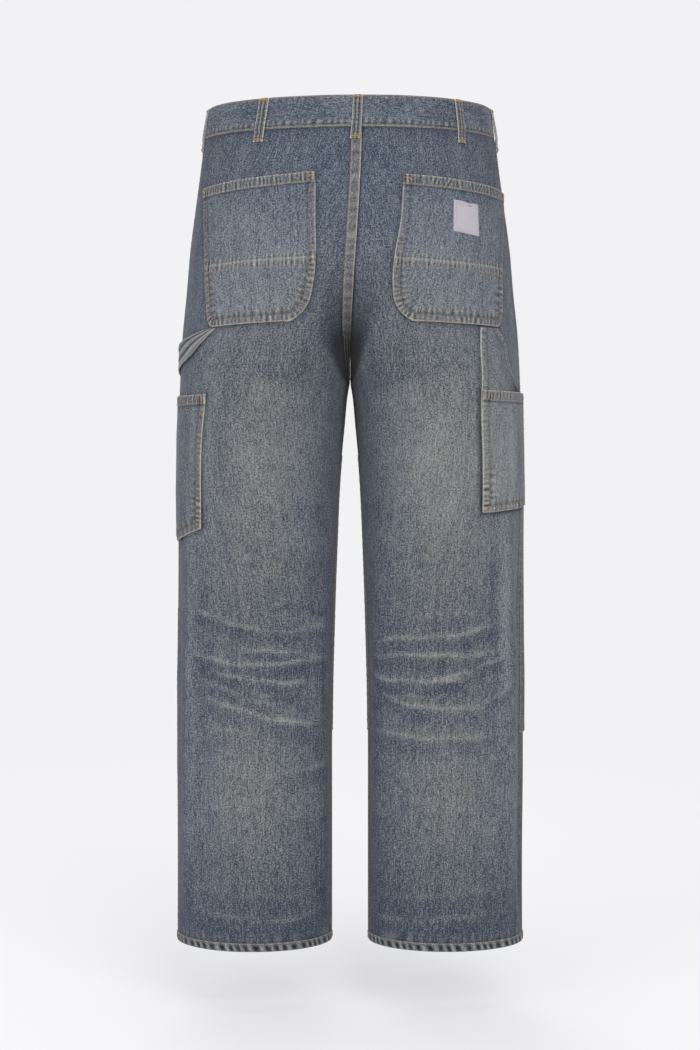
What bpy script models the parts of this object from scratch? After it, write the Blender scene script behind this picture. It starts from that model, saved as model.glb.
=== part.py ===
# Loose carpenter jeans, filled out as worn, with nobody inside.
# Metres, +Z up, front towards -Y, the wearer's left towards +X.
# The origin is the middle of the waist, halfway up the waistband.

import math

import bmesh
import bpy
import numpy as np
from mathutils import Vector

CLOTH = 0.0015  # one layer of denim
PATCH = 0.0012  # a pocket, a knee panel or the fly
SEAM = 0.0003  # gap between pieces that are sewn edge to edge
LAY = 0.0006  # gap under a piece that lies on a curved panel
LEFT = 1
RIGHT = -1

WAIST_TOP = 0.019
WAIST_FOOT = -0.019
CROTCH = -0.319
HEM = -1.023
HEM_HEIGHT = 0.011
HEM_RAISE = 0.0012
WAIST_TILT = 0.0045  # the waist is this much higher at the back, and lower at the front
HEM_TILT = 0.0015  # the hem is this much lower at the back
TILT_FADE = 0.20
SEAT_SEAM_SHIFT = -0.0145  # the back seam starts this far off the middle at the waist
SEAT_SEAM_STRAIGHT = -0.319  # and is back in the middle at this height
FELLED_SEAM = 0.013
FELLED_RAISE = 0.0007

BAND_PROUD = 0.0010  # the waistband stands this far outside the panels
BAND_WALL = 0.0030
BAND_END = -94.0  # degrees, where the upper end of the waistband stops at the front
BAND_UNDERLAP = 13.0  # degrees that the other end runs on below it
BAND_STEP = 0.0034  # and how far inside it lies

LOOP_WIDTH = 0.012
LOOP_TOP = 0.0185
LOOP_FOOT = -0.0335
LOOP_WALL = 0.0016
LOOP_BOW = 0.0006
HAMMER_LOOP_BOW = 0.0030

FRONT_POCKET_FOOT = -0.172
FRONT_POCKET_REACH = 0.085  # from the outseam, along the waistband
FACING_TUCK = 0.016  # how far the facing runs on behind the panel
FACING_DEPTH = 0.0042  # and how far inside the panel's face it lies

FLY_WIDTH = 0.038
FLY_FOOT = -0.190
FLY_CURVE = 0.045  # height of the curve at its foot

BACK_COLUMNS = 13
FRONT_COLUMNS = 11
KNEE_TOP = -0.410
KNEE_FOOT = -0.759

POCKET_HEM = 0.0006  # extra wall of a turned hem or a doubled part
BUTTON_RADIUS = 0.0085
BUTTON_WALL = 0.0022
BUTTON_BEVEL = 0.001
LABEL_LIFT = 0.0022
LABEL_WALL = 0.0006

# Where the cross rows of a pocket lie, from 0 at its mouth to 1 at its foot
BACK_POCKET_ROWS = (0, 0.072, 0.085, 0.19, 0.30, 0.41, 0.52, 0.575, 0.59, 0.70, 0.79, 0.87, 0.93, 0.97, 1)
BACK_POCKET_DOUBLED = ((0, 0.075), (0.585, 1))
BACK_POCKET_CORNERS = (0.09, 0.16)
TOOL_POCKET_ROWS = (0, 0.05, 0.10, 0.16, 0.23, 0.285, 0.34, 0.39, 0.44, 0.53, 0.62, 0.71, 0.80, 0.89, 1)
TOOL_POCKET_FRONT_ROWS = (0, 0.08, 0.10, 0.25, 0.40, 0.55, 0.70, 0.85, 1)
RULER_POCKET_ROWS = (0, 0.065, 0.08, 0.20, 0.34, 0.48, 0.62, 0.76, 0.88, 1)
RULER_POCKET_POINT = (0.43, 0.014)  # how far across the foot's point is, and how far down it drops
HEM_DOUBLED = ((0, 0.085),)
HAMMER_LOOP_ROWS = np.linspace(0, 1, 11)
LABEL_ROWS = (0, 0.33, 0.67, 1)

# Half of the jeans as rings, from the waist down. The ring of a leg runs from inner to outer, and is back and
# front deep. Above the crotch inner is negative, and the ring is cut at the middle plane.
SECTION_COLUMNS = ("height", "outer", "inner", "back", "front")
SECTIONS = (
    (0.0190, 0.1741, -0.1741, 0.0950, 0.0920),
    (-0.0190, 0.1806, -0.1790, 0.0990, 0.0950),
    (-0.0600, 0.1860, -0.1780, 0.1070, 0.0990),
    (-0.1000, 0.1916, -0.1680, 0.1170, 0.1030),
    (-0.1550, 0.1991, -0.1420, 0.1280, 0.1070),
    (-0.2116, 0.2044, -0.0980, 0.1320, 0.1100),
    (-0.2600, 0.2094, -0.0520, 0.1300, 0.1120),
    (-0.2900, 0.2113, -0.0233, 0.1270, 0.1130),
    (-0.3100, 0.2123, -0.0054, 0.1240, 0.1140),
    (-0.3190, 0.2126, 0.0000, 0.1230, 0.1140),
    (-0.3300, 0.2132, 0.0028, 0.1215, 0.1140),
    (-0.3750, 0.2148, 0.0075, 0.1140, 0.1120),
    (-0.4380, 0.2164, 0.0132, 0.1030, 0.1070),
    (-0.5330, 0.2167, 0.0176, 0.0860, 0.0980),
    (-0.6300, 0.2176, 0.0208, 0.0710, 0.0890),
    (-0.7000, 0.2186, 0.0226, 0.0710, 0.0820),
    (-0.8000, 0.2186, 0.0234, 0.0760, 0.0700),
    (-0.9200, 0.2180, 0.0234, 0.0730, 0.0640),
    (-1.0230, 0.2185, 0.0234, 0.0690, 0.0620),
)

# The outseam's turn from the side, in degrees, towards the back if positive.
OUTSEAM_COLUMNS = ("height", "left", "right")
OUTSEAMS = (
    (0.02, 2.0, 4.0),
    (-0.20, -4.0, 8.0),
    (-0.45, -8.0, 12.0),
    (-1.03, -8.0, 20.0),
)

# The hollow between the backs of the legs, above the fork: its depth, and its reach onto each leg.
FORK_COLUMNS = ("height", "deep", "left", "right")
FORK_HOLLOW = (
    (-0.140, 0.000, 0.044, 0.040),
    (-0.180, 0.004, 0.042, 0.036),
    (-0.220, 0.012, 0.038, 0.028),
    (-0.255, 0.021, 0.032, 0.020),
    (-0.285, 0.030, 0.025, 0.014),
    (-0.319, 0.034, 0.020, 0.010),
)
FORK_SHARE = 0.62  # the hollow goes no deeper than this share of the way to the middle of the leg

# Folds that run down a leg. Angles are in degrees from the side towards the back, other sizes in metres.
DRAPE_COLUMNS = ("side", "top", "foot", "angle_top", "angle_foot", "spread", "height")
DRAPES = (
    (LEFT, -0.36, -1.02, 40, 34, 11, 0.0045),
    (LEFT, -0.40, -0.99, 62, 58, 12, -0.0030),
    (LEFT, -0.34, -0.92, 14, 12, 9, -0.0035),
    (LEFT, -0.50, -1.02, 150, 152, 11, 0.0030),
    (LEFT, -0.42, -0.98, -42, -36, 13, 0.0040),
    (LEFT, -0.36, -0.90, -70, -76, 14, -0.0030),
    (LEFT, -0.56, -1.02, -120, -112, 14, 0.0035),
    (RIGHT, -0.36, -1.01, 40, 38, 10, 0.0048),
    (RIGHT, -0.42, -0.96, 60, 66, 13, -0.0028),
    (RIGHT, -0.50, -1.01, 22, 16, 7, -0.0036),
    (RIGHT, -0.44, -0.98, 146, 150, 12, 0.0030),
    (RIGHT, -0.40, -0.99, -38, -44, 13, 0.0042),
    (RIGHT, -0.38, -0.92, -78, -70, 14, -0.0030),
    (RIGHT, -0.60, -1.02, -118, -124, 13, 0.0032),
)

# Creases that run across a leg, between two angles, each sagging in its middle.
CREASE_COLUMNS = ("side", "start", "end", "height_start", "height_end", "sag", "spread", "depth")
CREASES = (
    (LEFT, 30, 112, -0.612, -0.640, 0.006, 0.009, 0.0016),
    (LEFT, 34, 120, -0.656, -0.664, 0.010, 0.008, 0.0018),
    (LEFT, 36, 146, -0.678, -0.684, 0.022, 0.009, 0.0024),
    (LEFT, 40, 142, -0.734, -0.742, 0.016, 0.010, 0.0018),
    (RIGHT, 34, 140, -0.618, -0.648, 0.008, 0.009, 0.0024),
    (RIGHT, 32, 150, -0.650, -0.664, 0.010, 0.008, 0.0020),
    (RIGHT, 36, 138, -0.682, -0.692, 0.014, 0.009, 0.0022),
    (RIGHT, 40, 136, -0.712, -0.722, 0.012, 0.010, 0.0018),
    (LEFT, -40, -140, -0.560, -0.570, 0.010, 0.012, 0.0020),
    (LEFT, -50, -150, -0.930, -0.945, 0.012, 0.012, 0.0024),
    (RIGHT, -44, -146, -0.575, -0.560, 0.012, 0.012, 0.0020),
    (RIGHT, -40, -144, -0.920, -0.935, 0.010, 0.012, 0.0024),
)


# Pieces that lie on a leg, as their two side edges from the top down: the start edge is nearer the outseam.
# Angles are in degrees from the side towards the back.
EDGE_COLUMNS = ("down", "start_angle", "start_height", "end_angle", "end_height")
BACK_POCKET_LEFT = (
    (0.00, 18.0, -0.0840, 75.0, -0.0725),
    (0.34, 26.5, -0.1400, 80.5, -0.1310),
    (0.70, 34.5, -0.2020, 89.5, -0.1950),
    (1.00, 43.5, -0.2560, 97.0, -0.2490),
)
BACK_POCKET_RIGHT = (
    (0.00, 5.0, -0.0860, 75.0, -0.0755),
    (0.34, 19.5, -0.1420, 80.0, -0.1330),
    (0.70, 28.5, -0.2040, 90.0, -0.1960),
    (1.00, 35.5, -0.2550, 97.5, -0.2490),
)
LABEL = (
    (0.00, 39.8, -0.1080, 54.0, -0.1040),
    (1.00, 42.8, -0.1470, 57.0, -0.1420),
)
TOOL_POCKET = (
    (0.00, 40.0, -0.2562, 53.0, -0.2562),
    (0.10, 34.0, -0.2740, 56.0, -0.2770),
    (0.23, 32.0, -0.3010, 59.5, -0.3060),
    (0.34, 22.0, -0.3260, 62.0, -0.3310),
    (0.44, 11.4, -0.3500, 63.0, -0.3540),
    (1.00, 12.8, -0.4735, 63.5, -0.4800),
)
TOOL_POCKET_FRONT = (
    (0.00, 11.0, -0.3340, 62.2, -0.3310),
    (0.40, 11.8, -0.3900, 63.6, -0.3900),
    (1.00, 12.8, -0.4735, 63.5, -0.4800),
)
RULER_POCKET = (
    (0.00, -5.4, -0.3380, 52.0, -0.3360),
    (0.30, -6.4, -0.3920, 49.8, -0.3900),
    (1.00, -7.5, -0.5080, 51.0, -0.5000),
)
HAMMER_LOOP = (
    (0.00, 44.0, -0.2575, 50.0, -0.2575),
    (0.35, 30.0, -0.2660, 41.0, -0.2770),
    (0.70, 12.0, -0.2740, 29.0, -0.2940),
    (1.00, -4.5, -0.2850, -4.5, -0.3130),
)

# Belt loops, by their angle from the side towards the back, and whether they sit on the left or the right half.
LOOP_COLUMNS = ("name", "side", "angle_top", "angle_foot", "rise")
LOOPS = (
    ("belt_loop_back", LEFT, 88.4, 88.0, FELLED_RAISE),
    ("belt_loop_back_left", LEFT, 51.0, 50.2, 0),
    ("belt_loop_back_right", RIGHT, 44.0, 44.6, 0),
    ("belt_loop_side_left", LEFT, 3.0, 3.0, 0),
    ("belt_loop_side_right", RIGHT, 4.0, 4.0, 0),
    ("belt_loop_front_left", LEFT, -52.0, -52.0, 0),
    ("belt_loop_front_right", RIGHT, -52.0, -52.0, 0),
)


def column(table, names, name):
    """One named column of a table, as an array."""
    return np.array([row[names.index(name)] for row in table], float)


def smooth_between(xs, ys, x):
    """A curve through the points with no overshoot between them. xs run downwards or upwards."""
    if xs[0] > xs[-1]:
        xs, ys = xs[::-1], ys[::-1]
    step = np.diff(xs)
    rise = np.diff(ys) / step
    slope = np.concatenate([[rise[0]], (rise[:-1] + rise[1:]) / 2, [rise[-1]]])
    turning = rise[:-1] * rise[1:] <= 0
    slope[1:-1][turning] = 0
    limit = 3 * np.minimum(np.abs(np.append(rise, rise[-1])), np.abs(np.insert(rise, 0, rise[0])))
    slope = np.clip(slope, -limit, limit)
    x = np.clip(x, xs[0], xs[-1])
    k = np.clip(np.searchsorted(xs, x) - 1, 0, len(step) - 1)
    t = (x - xs[k]) / step[k]
    start = (1 + 2 * t) * (1 - t) ** 2 * ys[k] + t * (1 - t) ** 2 * step[k] * slope[k]
    end = t**2 * (3 - 2 * t) * ys[k + 1] - t**2 * (1 - t) * step[k] * slope[k + 1]
    return start + end


def ease(t):
    """0 before 0, 1 after 1, smooth between."""
    t = np.clip(t, 0, 1)
    return t * t * (3 - 2 * t)


def ring(height):
    """Half width, centre, back depth and front depth of a leg's ring at a height."""
    heights = column(SECTIONS, SECTION_COLUMNS, "height")
    outer, inner, back, front = (
        smooth_between(heights, column(SECTIONS, SECTION_COLUMNS, name), height)
        for name in SECTION_COLUMNS[1:]
    )
    return (outer - inner) / 2, (outer + inner) / 2, back, front


def outseam_angle(height, side):
    name = "left" if side == LEFT else "right"
    heights = column(OUTSEAMS, OUTSEAM_COLUMNS, "height")
    return np.radians(smooth_between(heights, column(OUTSEAMS, OUTSEAM_COLUMNS, name), height))


def fold_depth(angle, height, side):
    """How far the folds push the cloth outwards."""
    turn = np.degrees(angle)
    depth = np.zeros(np.broadcast(angle, height).shape)
    for fold_side, top, foot, angle_top, angle_foot, spread, rise in DRAPES:
        if fold_side != side:
            continue
        down = (top - height) / (top - foot)
        middle = angle_top + (angle_foot - angle_top) * down
        fade = ease(down * 4) * ease((1 - down) * 8)
        depth = depth + rise * fade * np.exp(-(((turn - middle) / spread) ** 2))
    for fold_side, start, end, height_start, height_end, sag, spread, rise in CREASES:
        if fold_side != side:
            continue
        across = (turn - start) / (end - start)
        middle = height_start + (height_end - height_start) * across - 4 * sag * across * (1 - across)
        fade = ease(across * 5) * ease((1 - across) * 5)
        depth = depth + rise * fade * np.exp(-(((height - middle) / spread) ** 2))
    return depth


def bridged_fold(angle, height, side):
    """The highest fold close by: what a piece lies on where it spans the troughs."""
    turns = np.radians((-12, -6, 0, 6, 12))
    rises = (-0.015, 0, 0.015)
    near = [fold_depth(angle + turn, height + rise, side) for turn in turns for rise in rises]
    return np.max(near, axis=0)


def seat_seam_shift(height):
    return SEAT_SEAM_SHIFT * ease((height - SEAT_SEAM_STRAIGHT) / -SEAT_SEAM_STRAIGHT)


def fork_hollow(x, height, side):
    """How far the cloth sinks in at this distance from the seat seam, which lies lowest."""
    rows = column(FORK_HOLLOW, FORK_COLUMNS, "height")
    deep = smooth_between(rows, column(FORK_HOLLOW, FORK_COLUMNS, "deep"), height)
    reach = smooth_between(rows, column(FORK_HOLLOW, FORK_COLUMNS, "left" if side == LEFT else "right"), height)
    deep = np.minimum(deep, FORK_SHARE * ring(height)[2] * np.sin(inner_angle(height)))
    return deep * (1 - np.clip(np.abs(x) / reach, 0, 1)) ** 1.25


def leg_surface(angle, height, side, fold=fold_depth):
    """Outer face of one layer of cloth. The angle runs from the side, over the back, to the inside leg."""
    half, centre, back, front = ring(height)
    depth = np.where(np.sin(angle) >= 0, back, front)
    across = np.cos(angle) / half
    along = np.sin(angle) / depth
    size = np.hypot(across, along)
    push = fold(angle, height, side) / size
    x = centre + half * np.cos(angle) + push * across
    y = depth * np.sin(angle) + push * along
    y = y - fork_hollow(x, height, side) * (np.sin(angle) > 0)
    shift = seat_seam_shift(height) * np.clip(np.sin(angle), 0, 1)
    shift = shift * np.clip(1 - (x / (half + centre)) ** 2, 0, 1)
    z = height + WAIST_TILT * np.sin(angle) * ease(1 + (height - WAIST_TOP) / TILT_FADE)
    z = z - HEM_TILT * np.sin(angle) * ease(1 - (height - HEM) / TILT_FADE)
    return np.stack([side * x + shift, y, z], axis=-1)


def leg_normal(angle, height, side, fold=fold_depth):
    """Unit vector out of the cloth."""
    turn = 0.004
    rise = 0.0005
    over = leg_surface(angle + turn, height, side, fold) - leg_surface(angle - turn, height, side, fold)
    up = leg_surface(angle, height + rise, side, fold) - leg_surface(angle, height - rise, side, fold)
    normal = np.cross(over, up) * side
    return normal / np.linalg.norm(normal, axis=-1, keepdims=True)


def on_leg(angle, height, side, lift, fold=fold_depth):
    """Points this far outside the cloth's outer face."""
    lift = np.asarray(lift)[..., None]
    return leg_surface(angle, height, side, fold) + leg_normal(angle, height, side, fold) * lift


def keep_to_side(points, height, side):
    """Moves points that cross the middle seam back to their own side of it."""
    middle = seat_seam_shift(height) * (points[..., 1] > 0)
    beyond = np.maximum(side * (points[..., 0] - middle), SEAM / 2)
    kept = points.copy()
    kept[..., 0] = middle + side * beyond
    return kept


def inner_angle(height):
    """Angle of a leg's inner edge: the middle plane above the crotch, the inseam below it."""
    half, centre, back, _ = ring(height)
    cut = np.clip((SEAM / 2 - centre) / half, -1, 1)
    return np.minimum(np.arccos(cut), math.pi - SEAM / 2 / back)


def material(name, red, green, blue, metallic=0.0):
    made = bpy.data.materials.new(name)
    made.use_nodes = True
    shader = made.node_tree.nodes["Principled BSDF"]
    shader.inputs["Base Color"].default_value = (red, green, blue, 1)
    shader.inputs["Roughness"].default_value = 0.9 if not metallic else 0.35
    shader.inputs["Metallic"].default_value = metallic
    return made


def cloth_sheet(name, columns, rows, place, finish):
    """A closed wall of cloth. place(u, v) gives its outer and inner points, for u across and v down, both 0 to 1."""
    block = bmesh.new()
    bmesh.ops.create_grid(block, x_segments=columns, y_segments=rows, size=1)
    made = bmesh.ops.extrude_face_region(block, geom=block.faces[:], use_keep_orig=True)
    bmesh.ops.recalc_face_normals(block, faces=block.faces)
    outside = [part for part in made["geom"] if isinstance(part, bmesh.types.BMVert)]
    bmesh.ops.translate(block, vec=(0, 0, 1), verts=outside)
    flat = np.array([vertex.co for vertex in block.verts])
    across = np.rint((flat[:, 0] + 1) / 2 * columns) / columns
    down = np.rint((1 - flat[:, 1]) / 2 * rows) / rows
    outer, inner = place(across, down)
    points = np.where(flat[:, 2:] > 0.5, outer, inner)
    for vertex, point in zip(block.verts, points):
        vertex.co = point
    if block.calc_volume(signed=True) < 0:
        bmesh.ops.reverse_faces(block, faces=block.faces)
    mesh = bpy.data.meshes.new(name)
    block.to_mesh(mesh)
    block.free()
    mesh.materials.append(finish)
    mesh.shade_smooth()
    sheet = bpy.data.objects.new(name, mesh)
    JEANS.objects.link(sheet)
    return sheet


def panel_heights():
    """Heights of the rows of a leg panel, closest together at the crotch, the knee and the hem."""
    rise = 13
    seat = [CROTCH + (WAIST_FOOT - SEAM - CROTCH) * (k / rise) ** 1.8 for k in range(rise, -1, -1)]
    inside_leg = [-0.3215, -0.327, -0.336]
    thigh = list(np.linspace(-0.350, -0.590, 9))
    knee = list(np.linspace(-0.603, -0.759, 13))
    shin = list(np.linspace(-0.785, -0.985, 8))
    hem = [HEM + HEM_HEIGHT + 0.0015, HEM + HEM_HEIGHT, HEM]
    return np.array(seat + inside_leg + thigh + knee + shin + hem)


def front_pocket_edge(height):
    """Arc length from the outseam to the curved mouth of the front pocket."""
    up = np.clip((height - FRONT_POCKET_FOOT) / (WAIST_FOOT - FRONT_POCKET_FOOT), 0, 1)
    return FRONT_POCKET_REACH * up**0.75


def front_start(height, side, reach):
    """Angle on the front of the leg, this far along the cloth from the outseam."""
    half, _, _, front = ring(height)
    speed = np.hypot(half * np.sin(0.5), front * np.cos(0.5))
    return SEAM / 2 / front - outseam_angle(height, side) + reach / speed


def panel_angle(k, columns, height, side, is_back):
    """Angle of column k of a panel. The last two columns are the felled strip along the seam."""
    half, _, back, front = ring(height)
    depth = back if is_back else front
    if is_back:
        start = outseam_angle(height, side) + SEAM / 2 / depth
    else:
        start = front_start(height, side, front_pocket_edge(height))
    end = inner_angle(height)
    speed = np.hypot(half * np.sin(end), depth * np.cos(end))
    seam_start = end - (FELLED_SEAM + 0.0015) / speed
    turn = start + (seam_start - start) * k / (columns - 2)
    turn = np.where(k == columns - 1, end - FELLED_SEAM / speed, turn)
    turn = np.where(k == columns, end, turn)
    return turn if is_back else -turn


def stop_at(stops, part):
    """The listed value at each of the evenly spaced parts 0 to 1."""
    stops = np.asarray(stops)
    return stops[np.rint(part * (len(stops) - 1)).astype(int)]


def panel(name, side, is_back, finish):
    """A leg's back or front, from the outseam to the seat seam or fly and the inside leg."""
    heights = panel_heights()
    columns = BACK_COLUMNS if is_back else FRONT_COLUMNS

    def place(u, v):
        height = stop_at(heights, v)
        k = np.rint(u * columns)
        turn = panel_angle(k, columns, height, side, is_back)
        raised = np.where((k >= columns - 1) & (side == LEFT) & is_back, FELLED_RAISE, 0)
        raised = np.where(height <= HEM + HEM_HEIGHT + 1e-6, HEM_RAISE, raised)
        outer = keep_to_side(on_leg(turn, height, side, raised), height, side)
        inner = on_leg(turn, height, side, -CLOTH)
        return outer, inner

    return cloth_sheet(name, columns, len(heights) - 1, place, finish)


def knee_panel(name, side, finish):
    """The doubled front of a knee, from the outseam to the inside leg."""
    heights = [height for height in panel_heights() if KNEE_FOOT - 1e-6 <= height <= KNEE_TOP + 1e-6]

    def place(u, v):
        height = stop_at(heights, v)
        turn = panel_angle(np.rint(u * FRONT_COLUMNS), FRONT_COLUMNS, height, side, False)
        return on_leg(turn, height, side, LAY + PATCH), on_leg(turn, height, side, LAY)

    return cloth_sheet(name, FRONT_COLUMNS, len(heights) - 1, place, finish)


def waistband(finish):
    """One strip round the waist. Its left end lies over its right end at the front."""
    def place(u, v):
        turn = BAND_END + (360 + BAND_UNDERLAP) * u
        step = BAND_STEP * ease((turn - (BAND_END + 360 - 16)) / 11)
        height = WAIST_TOP + (WAIST_FOOT - WAIST_TOP) * v
        turn = np.radians(turn)
        outer = on_leg(turn, height, LEFT, BAND_PROUD - step)
        return outer, on_leg(turn, height, LEFT, BAND_PROUD - BAND_WALL - step)

    return cloth_sheet("waistband", 96, 2, place, finish)


def belt_loop(name, side, angle_top, angle_foot, rise, finish):
    """A strap sewn down at its two ends, standing off between them."""
    def place(u, v):
        height = LOOP_TOP + (LOOP_FOOT - LOOP_TOP) * v
        half, _, back, front = ring(height)
        middle = math.radians(angle_top) + math.radians(angle_foot - angle_top) * v
        depth = np.where(np.sin(middle) >= 0, back, front)
        speed = np.hypot(half * np.sin(middle), depth * np.cos(middle))
        turn = middle + (u - 0.5) * LOOP_WIDTH / speed
        lift = LAY + rise + BAND_PROUD * ease((0.8 - v) * 8) + LOOP_BOW * np.sin(math.pi * v) ** 0.7
        return on_leg(turn, height, side, lift + LOOP_WALL), on_leg(turn, height, side, lift)

    return cloth_sheet(name, 2, 8, place, finish)


def edge_at(table, down, name):
    return smooth_between(column(table, EDGE_COLUMNS, "down"), column(table, EDGE_COLUMNS, name), down)


def lying_piece(name, side, table, finish, columns, downs, lift=LAY, wall=PATCH, **shape):
    """A piece sewn flat on a leg, between the edges of its table.

    corners: the radii of its two lower corners, as parts of its width and height.
    point: where the lower edge is lowest, from 0 to 1 across, and how far it drops there.
    bow: how far it stands off halfway down.
    thick: the parts of its height, as pairs, where it is doubled."""
    start_round, end_round = shape.get("corners", (0, 0))
    point, drop = shape.get("point", (0.5, 0))
    thick = shape.get("thick", ())

    def place(u, v):
        down = stop_at(downs, v)
        inset = [
            round_off * (1 - np.sqrt(1 - np.clip(1 - (1 - down) / max(round_off, 0.001), 0, 1) ** 2))
            for round_off in (start_round, end_round)
        ]
        across = inset[0] + (1 - inset[0] - inset[1]) * u
        start = [edge_at(table, down, part) for part in ("start_angle", "start_height")]
        end = [edge_at(table, down, part) for part in ("end_angle", "end_height")]
        turn = np.radians(start[0] + (end[0] - start[0]) * across)
        height = start[1] + (end[1] - start[1]) * across
        height = height - drop * down * np.interp(across, (0, point, 1), (0, 1, 0))
        doubled = np.zeros(down.shape)
        for top, foot in thick or ():
            doubled = doubled + ((down >= top) & (down <= foot))
        off = lift + shape.get("bow", 0) * np.sin(math.pi * down)
        outer = on_leg(turn, height, side, off + wall + POCKET_HEM * np.minimum(doubled, 1), bridged_fold)
        return outer, on_leg(turn, height, side, off, bridged_fold)

    return cloth_sheet(name, columns, len(downs) - 1, place, finish)


def facing(name, side, finish):
    """The cloth seen in the mouth of a front pocket. It lies behind the panel."""
    heights = np.linspace(WAIST_FOOT - SEAM, FRONT_POCKET_FOOT - FACING_TUCK, 8)

    def place(u, v):
        height = stop_at(heights, v)
        turn = -front_start(height, side, (front_pocket_edge(height) + FACING_TUCK) * u)
        outer = on_leg(turn, height, side, -FACING_DEPTH)
        return outer, on_leg(turn, height, side, -FACING_DEPTH - PATCH)

    return cloth_sheet(name, 5, len(heights) - 1, place, finish)


def fly(finish):
    """The strip over the zip, on the left front, with a curved foot."""
    heights = [height for height in panel_heights() if height > FLY_FOOT]

    def place(u, v):
        height = stop_at(heights, v)
        half, _, _, front = ring(height)
        end = inner_angle(height)
        curve = np.clip((heights[-1] + FLY_CURVE - height) / FLY_CURVE, 0, 1)
        width = FLY_WIDTH * np.sqrt(1 - (0.93 * curve) ** 2)
        turn = end - (width * (1 - u) + SEAM) / np.hypot(half * np.sin(end), front * np.cos(end))
        outer = on_leg(-turn, height, LEFT, LAY + PATCH)
        return keep_to_side(outer, height, LEFT), on_leg(-turn, height, LEFT, LAY)

    return cloth_sheet("fly", 4, len(heights) - 1, place, finish)


def button(finish):
    """The waist button, on the upper end of the waistband."""
    turn = np.array([math.radians(-89.5)])
    height = np.array([0.0])
    place = on_leg(turn, height, LEFT, BAND_PROUD + LAY + BUTTON_WALL / 2)[0]
    normal = Vector(leg_normal(turn, height, LEFT)[0])
    disc = bmesh.new()
    bmesh.ops.create_cone(
        disc, cap_ends=True, segments=24, radius1=BUTTON_RADIUS, radius2=BUTTON_RADIUS - BUTTON_BEVEL,
        depth=BUTTON_WALL
    )
    turned = normal.to_track_quat("Z", "Y").to_matrix().to_4x4()
    turned.translation = Vector(place)
    bmesh.ops.transform(disc, matrix=turned, verts=disc.verts)
    mesh = bpy.data.meshes.new("waist_button")
    disc.to_mesh(mesh)
    disc.free()
    mesh.materials.append(finish)
    JEANS.objects.link(bpy.data.objects.new("waist_button", mesh))


def clear_scene():
    for thing in list(bpy.data.objects):
        bpy.data.objects.remove(thing)


def build():
    denim = material("denim", 0.16, 0.19, 0.23)
    panel("back_left", LEFT, True, denim)
    panel("back_right", RIGHT, True, denim)
    panel("front_left", LEFT, False, denim)
    panel("front_right", RIGHT, False, denim)
    facing("front_pocket_facing_left", LEFT, denim)
    facing("front_pocket_facing_right", RIGHT, denim)
    waistband(material("waistband denim", 0.12, 0.14, 0.17))
    for name, side, angle_top, angle_foot, rise in LOOPS:
        finish = material("belt loop denim", 0.11, 0.13, 0.16)
        belt_loop(name, side, angle_top, angle_foot, rise, finish)
    pocket = material("pocket denim", 0.19, 0.22, 0.26)
    for name, side, table in (
        ("back_pocket_left", LEFT, BACK_POCKET_LEFT),
        ("back_pocket_right", RIGHT, BACK_POCKET_RIGHT),
    ):
        lying_piece(
            name, side, table, pocket, 12, BACK_POCKET_ROWS,
            thick=BACK_POCKET_DOUBLED, corners=BACK_POCKET_CORNERS,
        )
    lying_piece("tool_pocket", RIGHT, TOOL_POCKET, pocket, 6, TOOL_POCKET_ROWS)
    lying_piece(
        "tool_pocket_front", RIGHT, TOOL_POCKET_FRONT, pocket, 6, TOOL_POCKET_FRONT_ROWS,
        lift=2 * LAY + PATCH, thick=HEM_DOUBLED,
    )
    lying_piece(
        "ruler_pocket", LEFT, RULER_POCKET, pocket, 6, RULER_POCKET_ROWS,
        thick=HEM_DOUBLED, point=RULER_POCKET_POINT,
    )
    lying_piece("hammer_loop", LEFT, HAMMER_LOOP, pocket, 3, HAMMER_LOOP_ROWS, bow=HAMMER_LOOP_BOW)
    knee_panel("knee_panel_left", LEFT, pocket)
    knee_panel("knee_panel_right", RIGHT, pocket)
    fly(pocket)
    button(material("button metal", 0.60, 0.42, 0.22, 1.0))
    label = material("label cloth", 0.52, 0.47, 0.52)
    lying_piece("pocket_label", RIGHT, LABEL, label, 3, LABEL_ROWS, LABEL_LIFT, LABEL_WALL)


clear_scene()
JEANS = bpy.data.collections.new("jeans")
bpy.context.scene.collection.children.link(JEANS)
build()
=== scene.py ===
# Loose carpenter jeans in worn grey-blue denim, filled out with nobody inside, seen from the back.
import math

import bmesh
import bpy
import numpy as np
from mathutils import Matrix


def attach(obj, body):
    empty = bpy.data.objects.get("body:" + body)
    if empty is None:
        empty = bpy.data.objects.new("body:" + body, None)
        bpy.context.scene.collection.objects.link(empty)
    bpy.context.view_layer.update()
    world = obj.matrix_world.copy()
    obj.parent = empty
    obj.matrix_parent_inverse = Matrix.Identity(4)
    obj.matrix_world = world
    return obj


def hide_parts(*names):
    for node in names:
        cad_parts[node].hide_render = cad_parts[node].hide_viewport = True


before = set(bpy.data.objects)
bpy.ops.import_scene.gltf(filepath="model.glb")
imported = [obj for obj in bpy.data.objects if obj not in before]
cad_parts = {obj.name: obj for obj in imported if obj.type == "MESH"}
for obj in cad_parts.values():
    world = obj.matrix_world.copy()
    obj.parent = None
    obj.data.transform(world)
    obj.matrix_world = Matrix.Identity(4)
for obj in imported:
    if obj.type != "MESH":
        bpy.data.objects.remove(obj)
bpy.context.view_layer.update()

left, right = 1, -1
mm = 0.001

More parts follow.
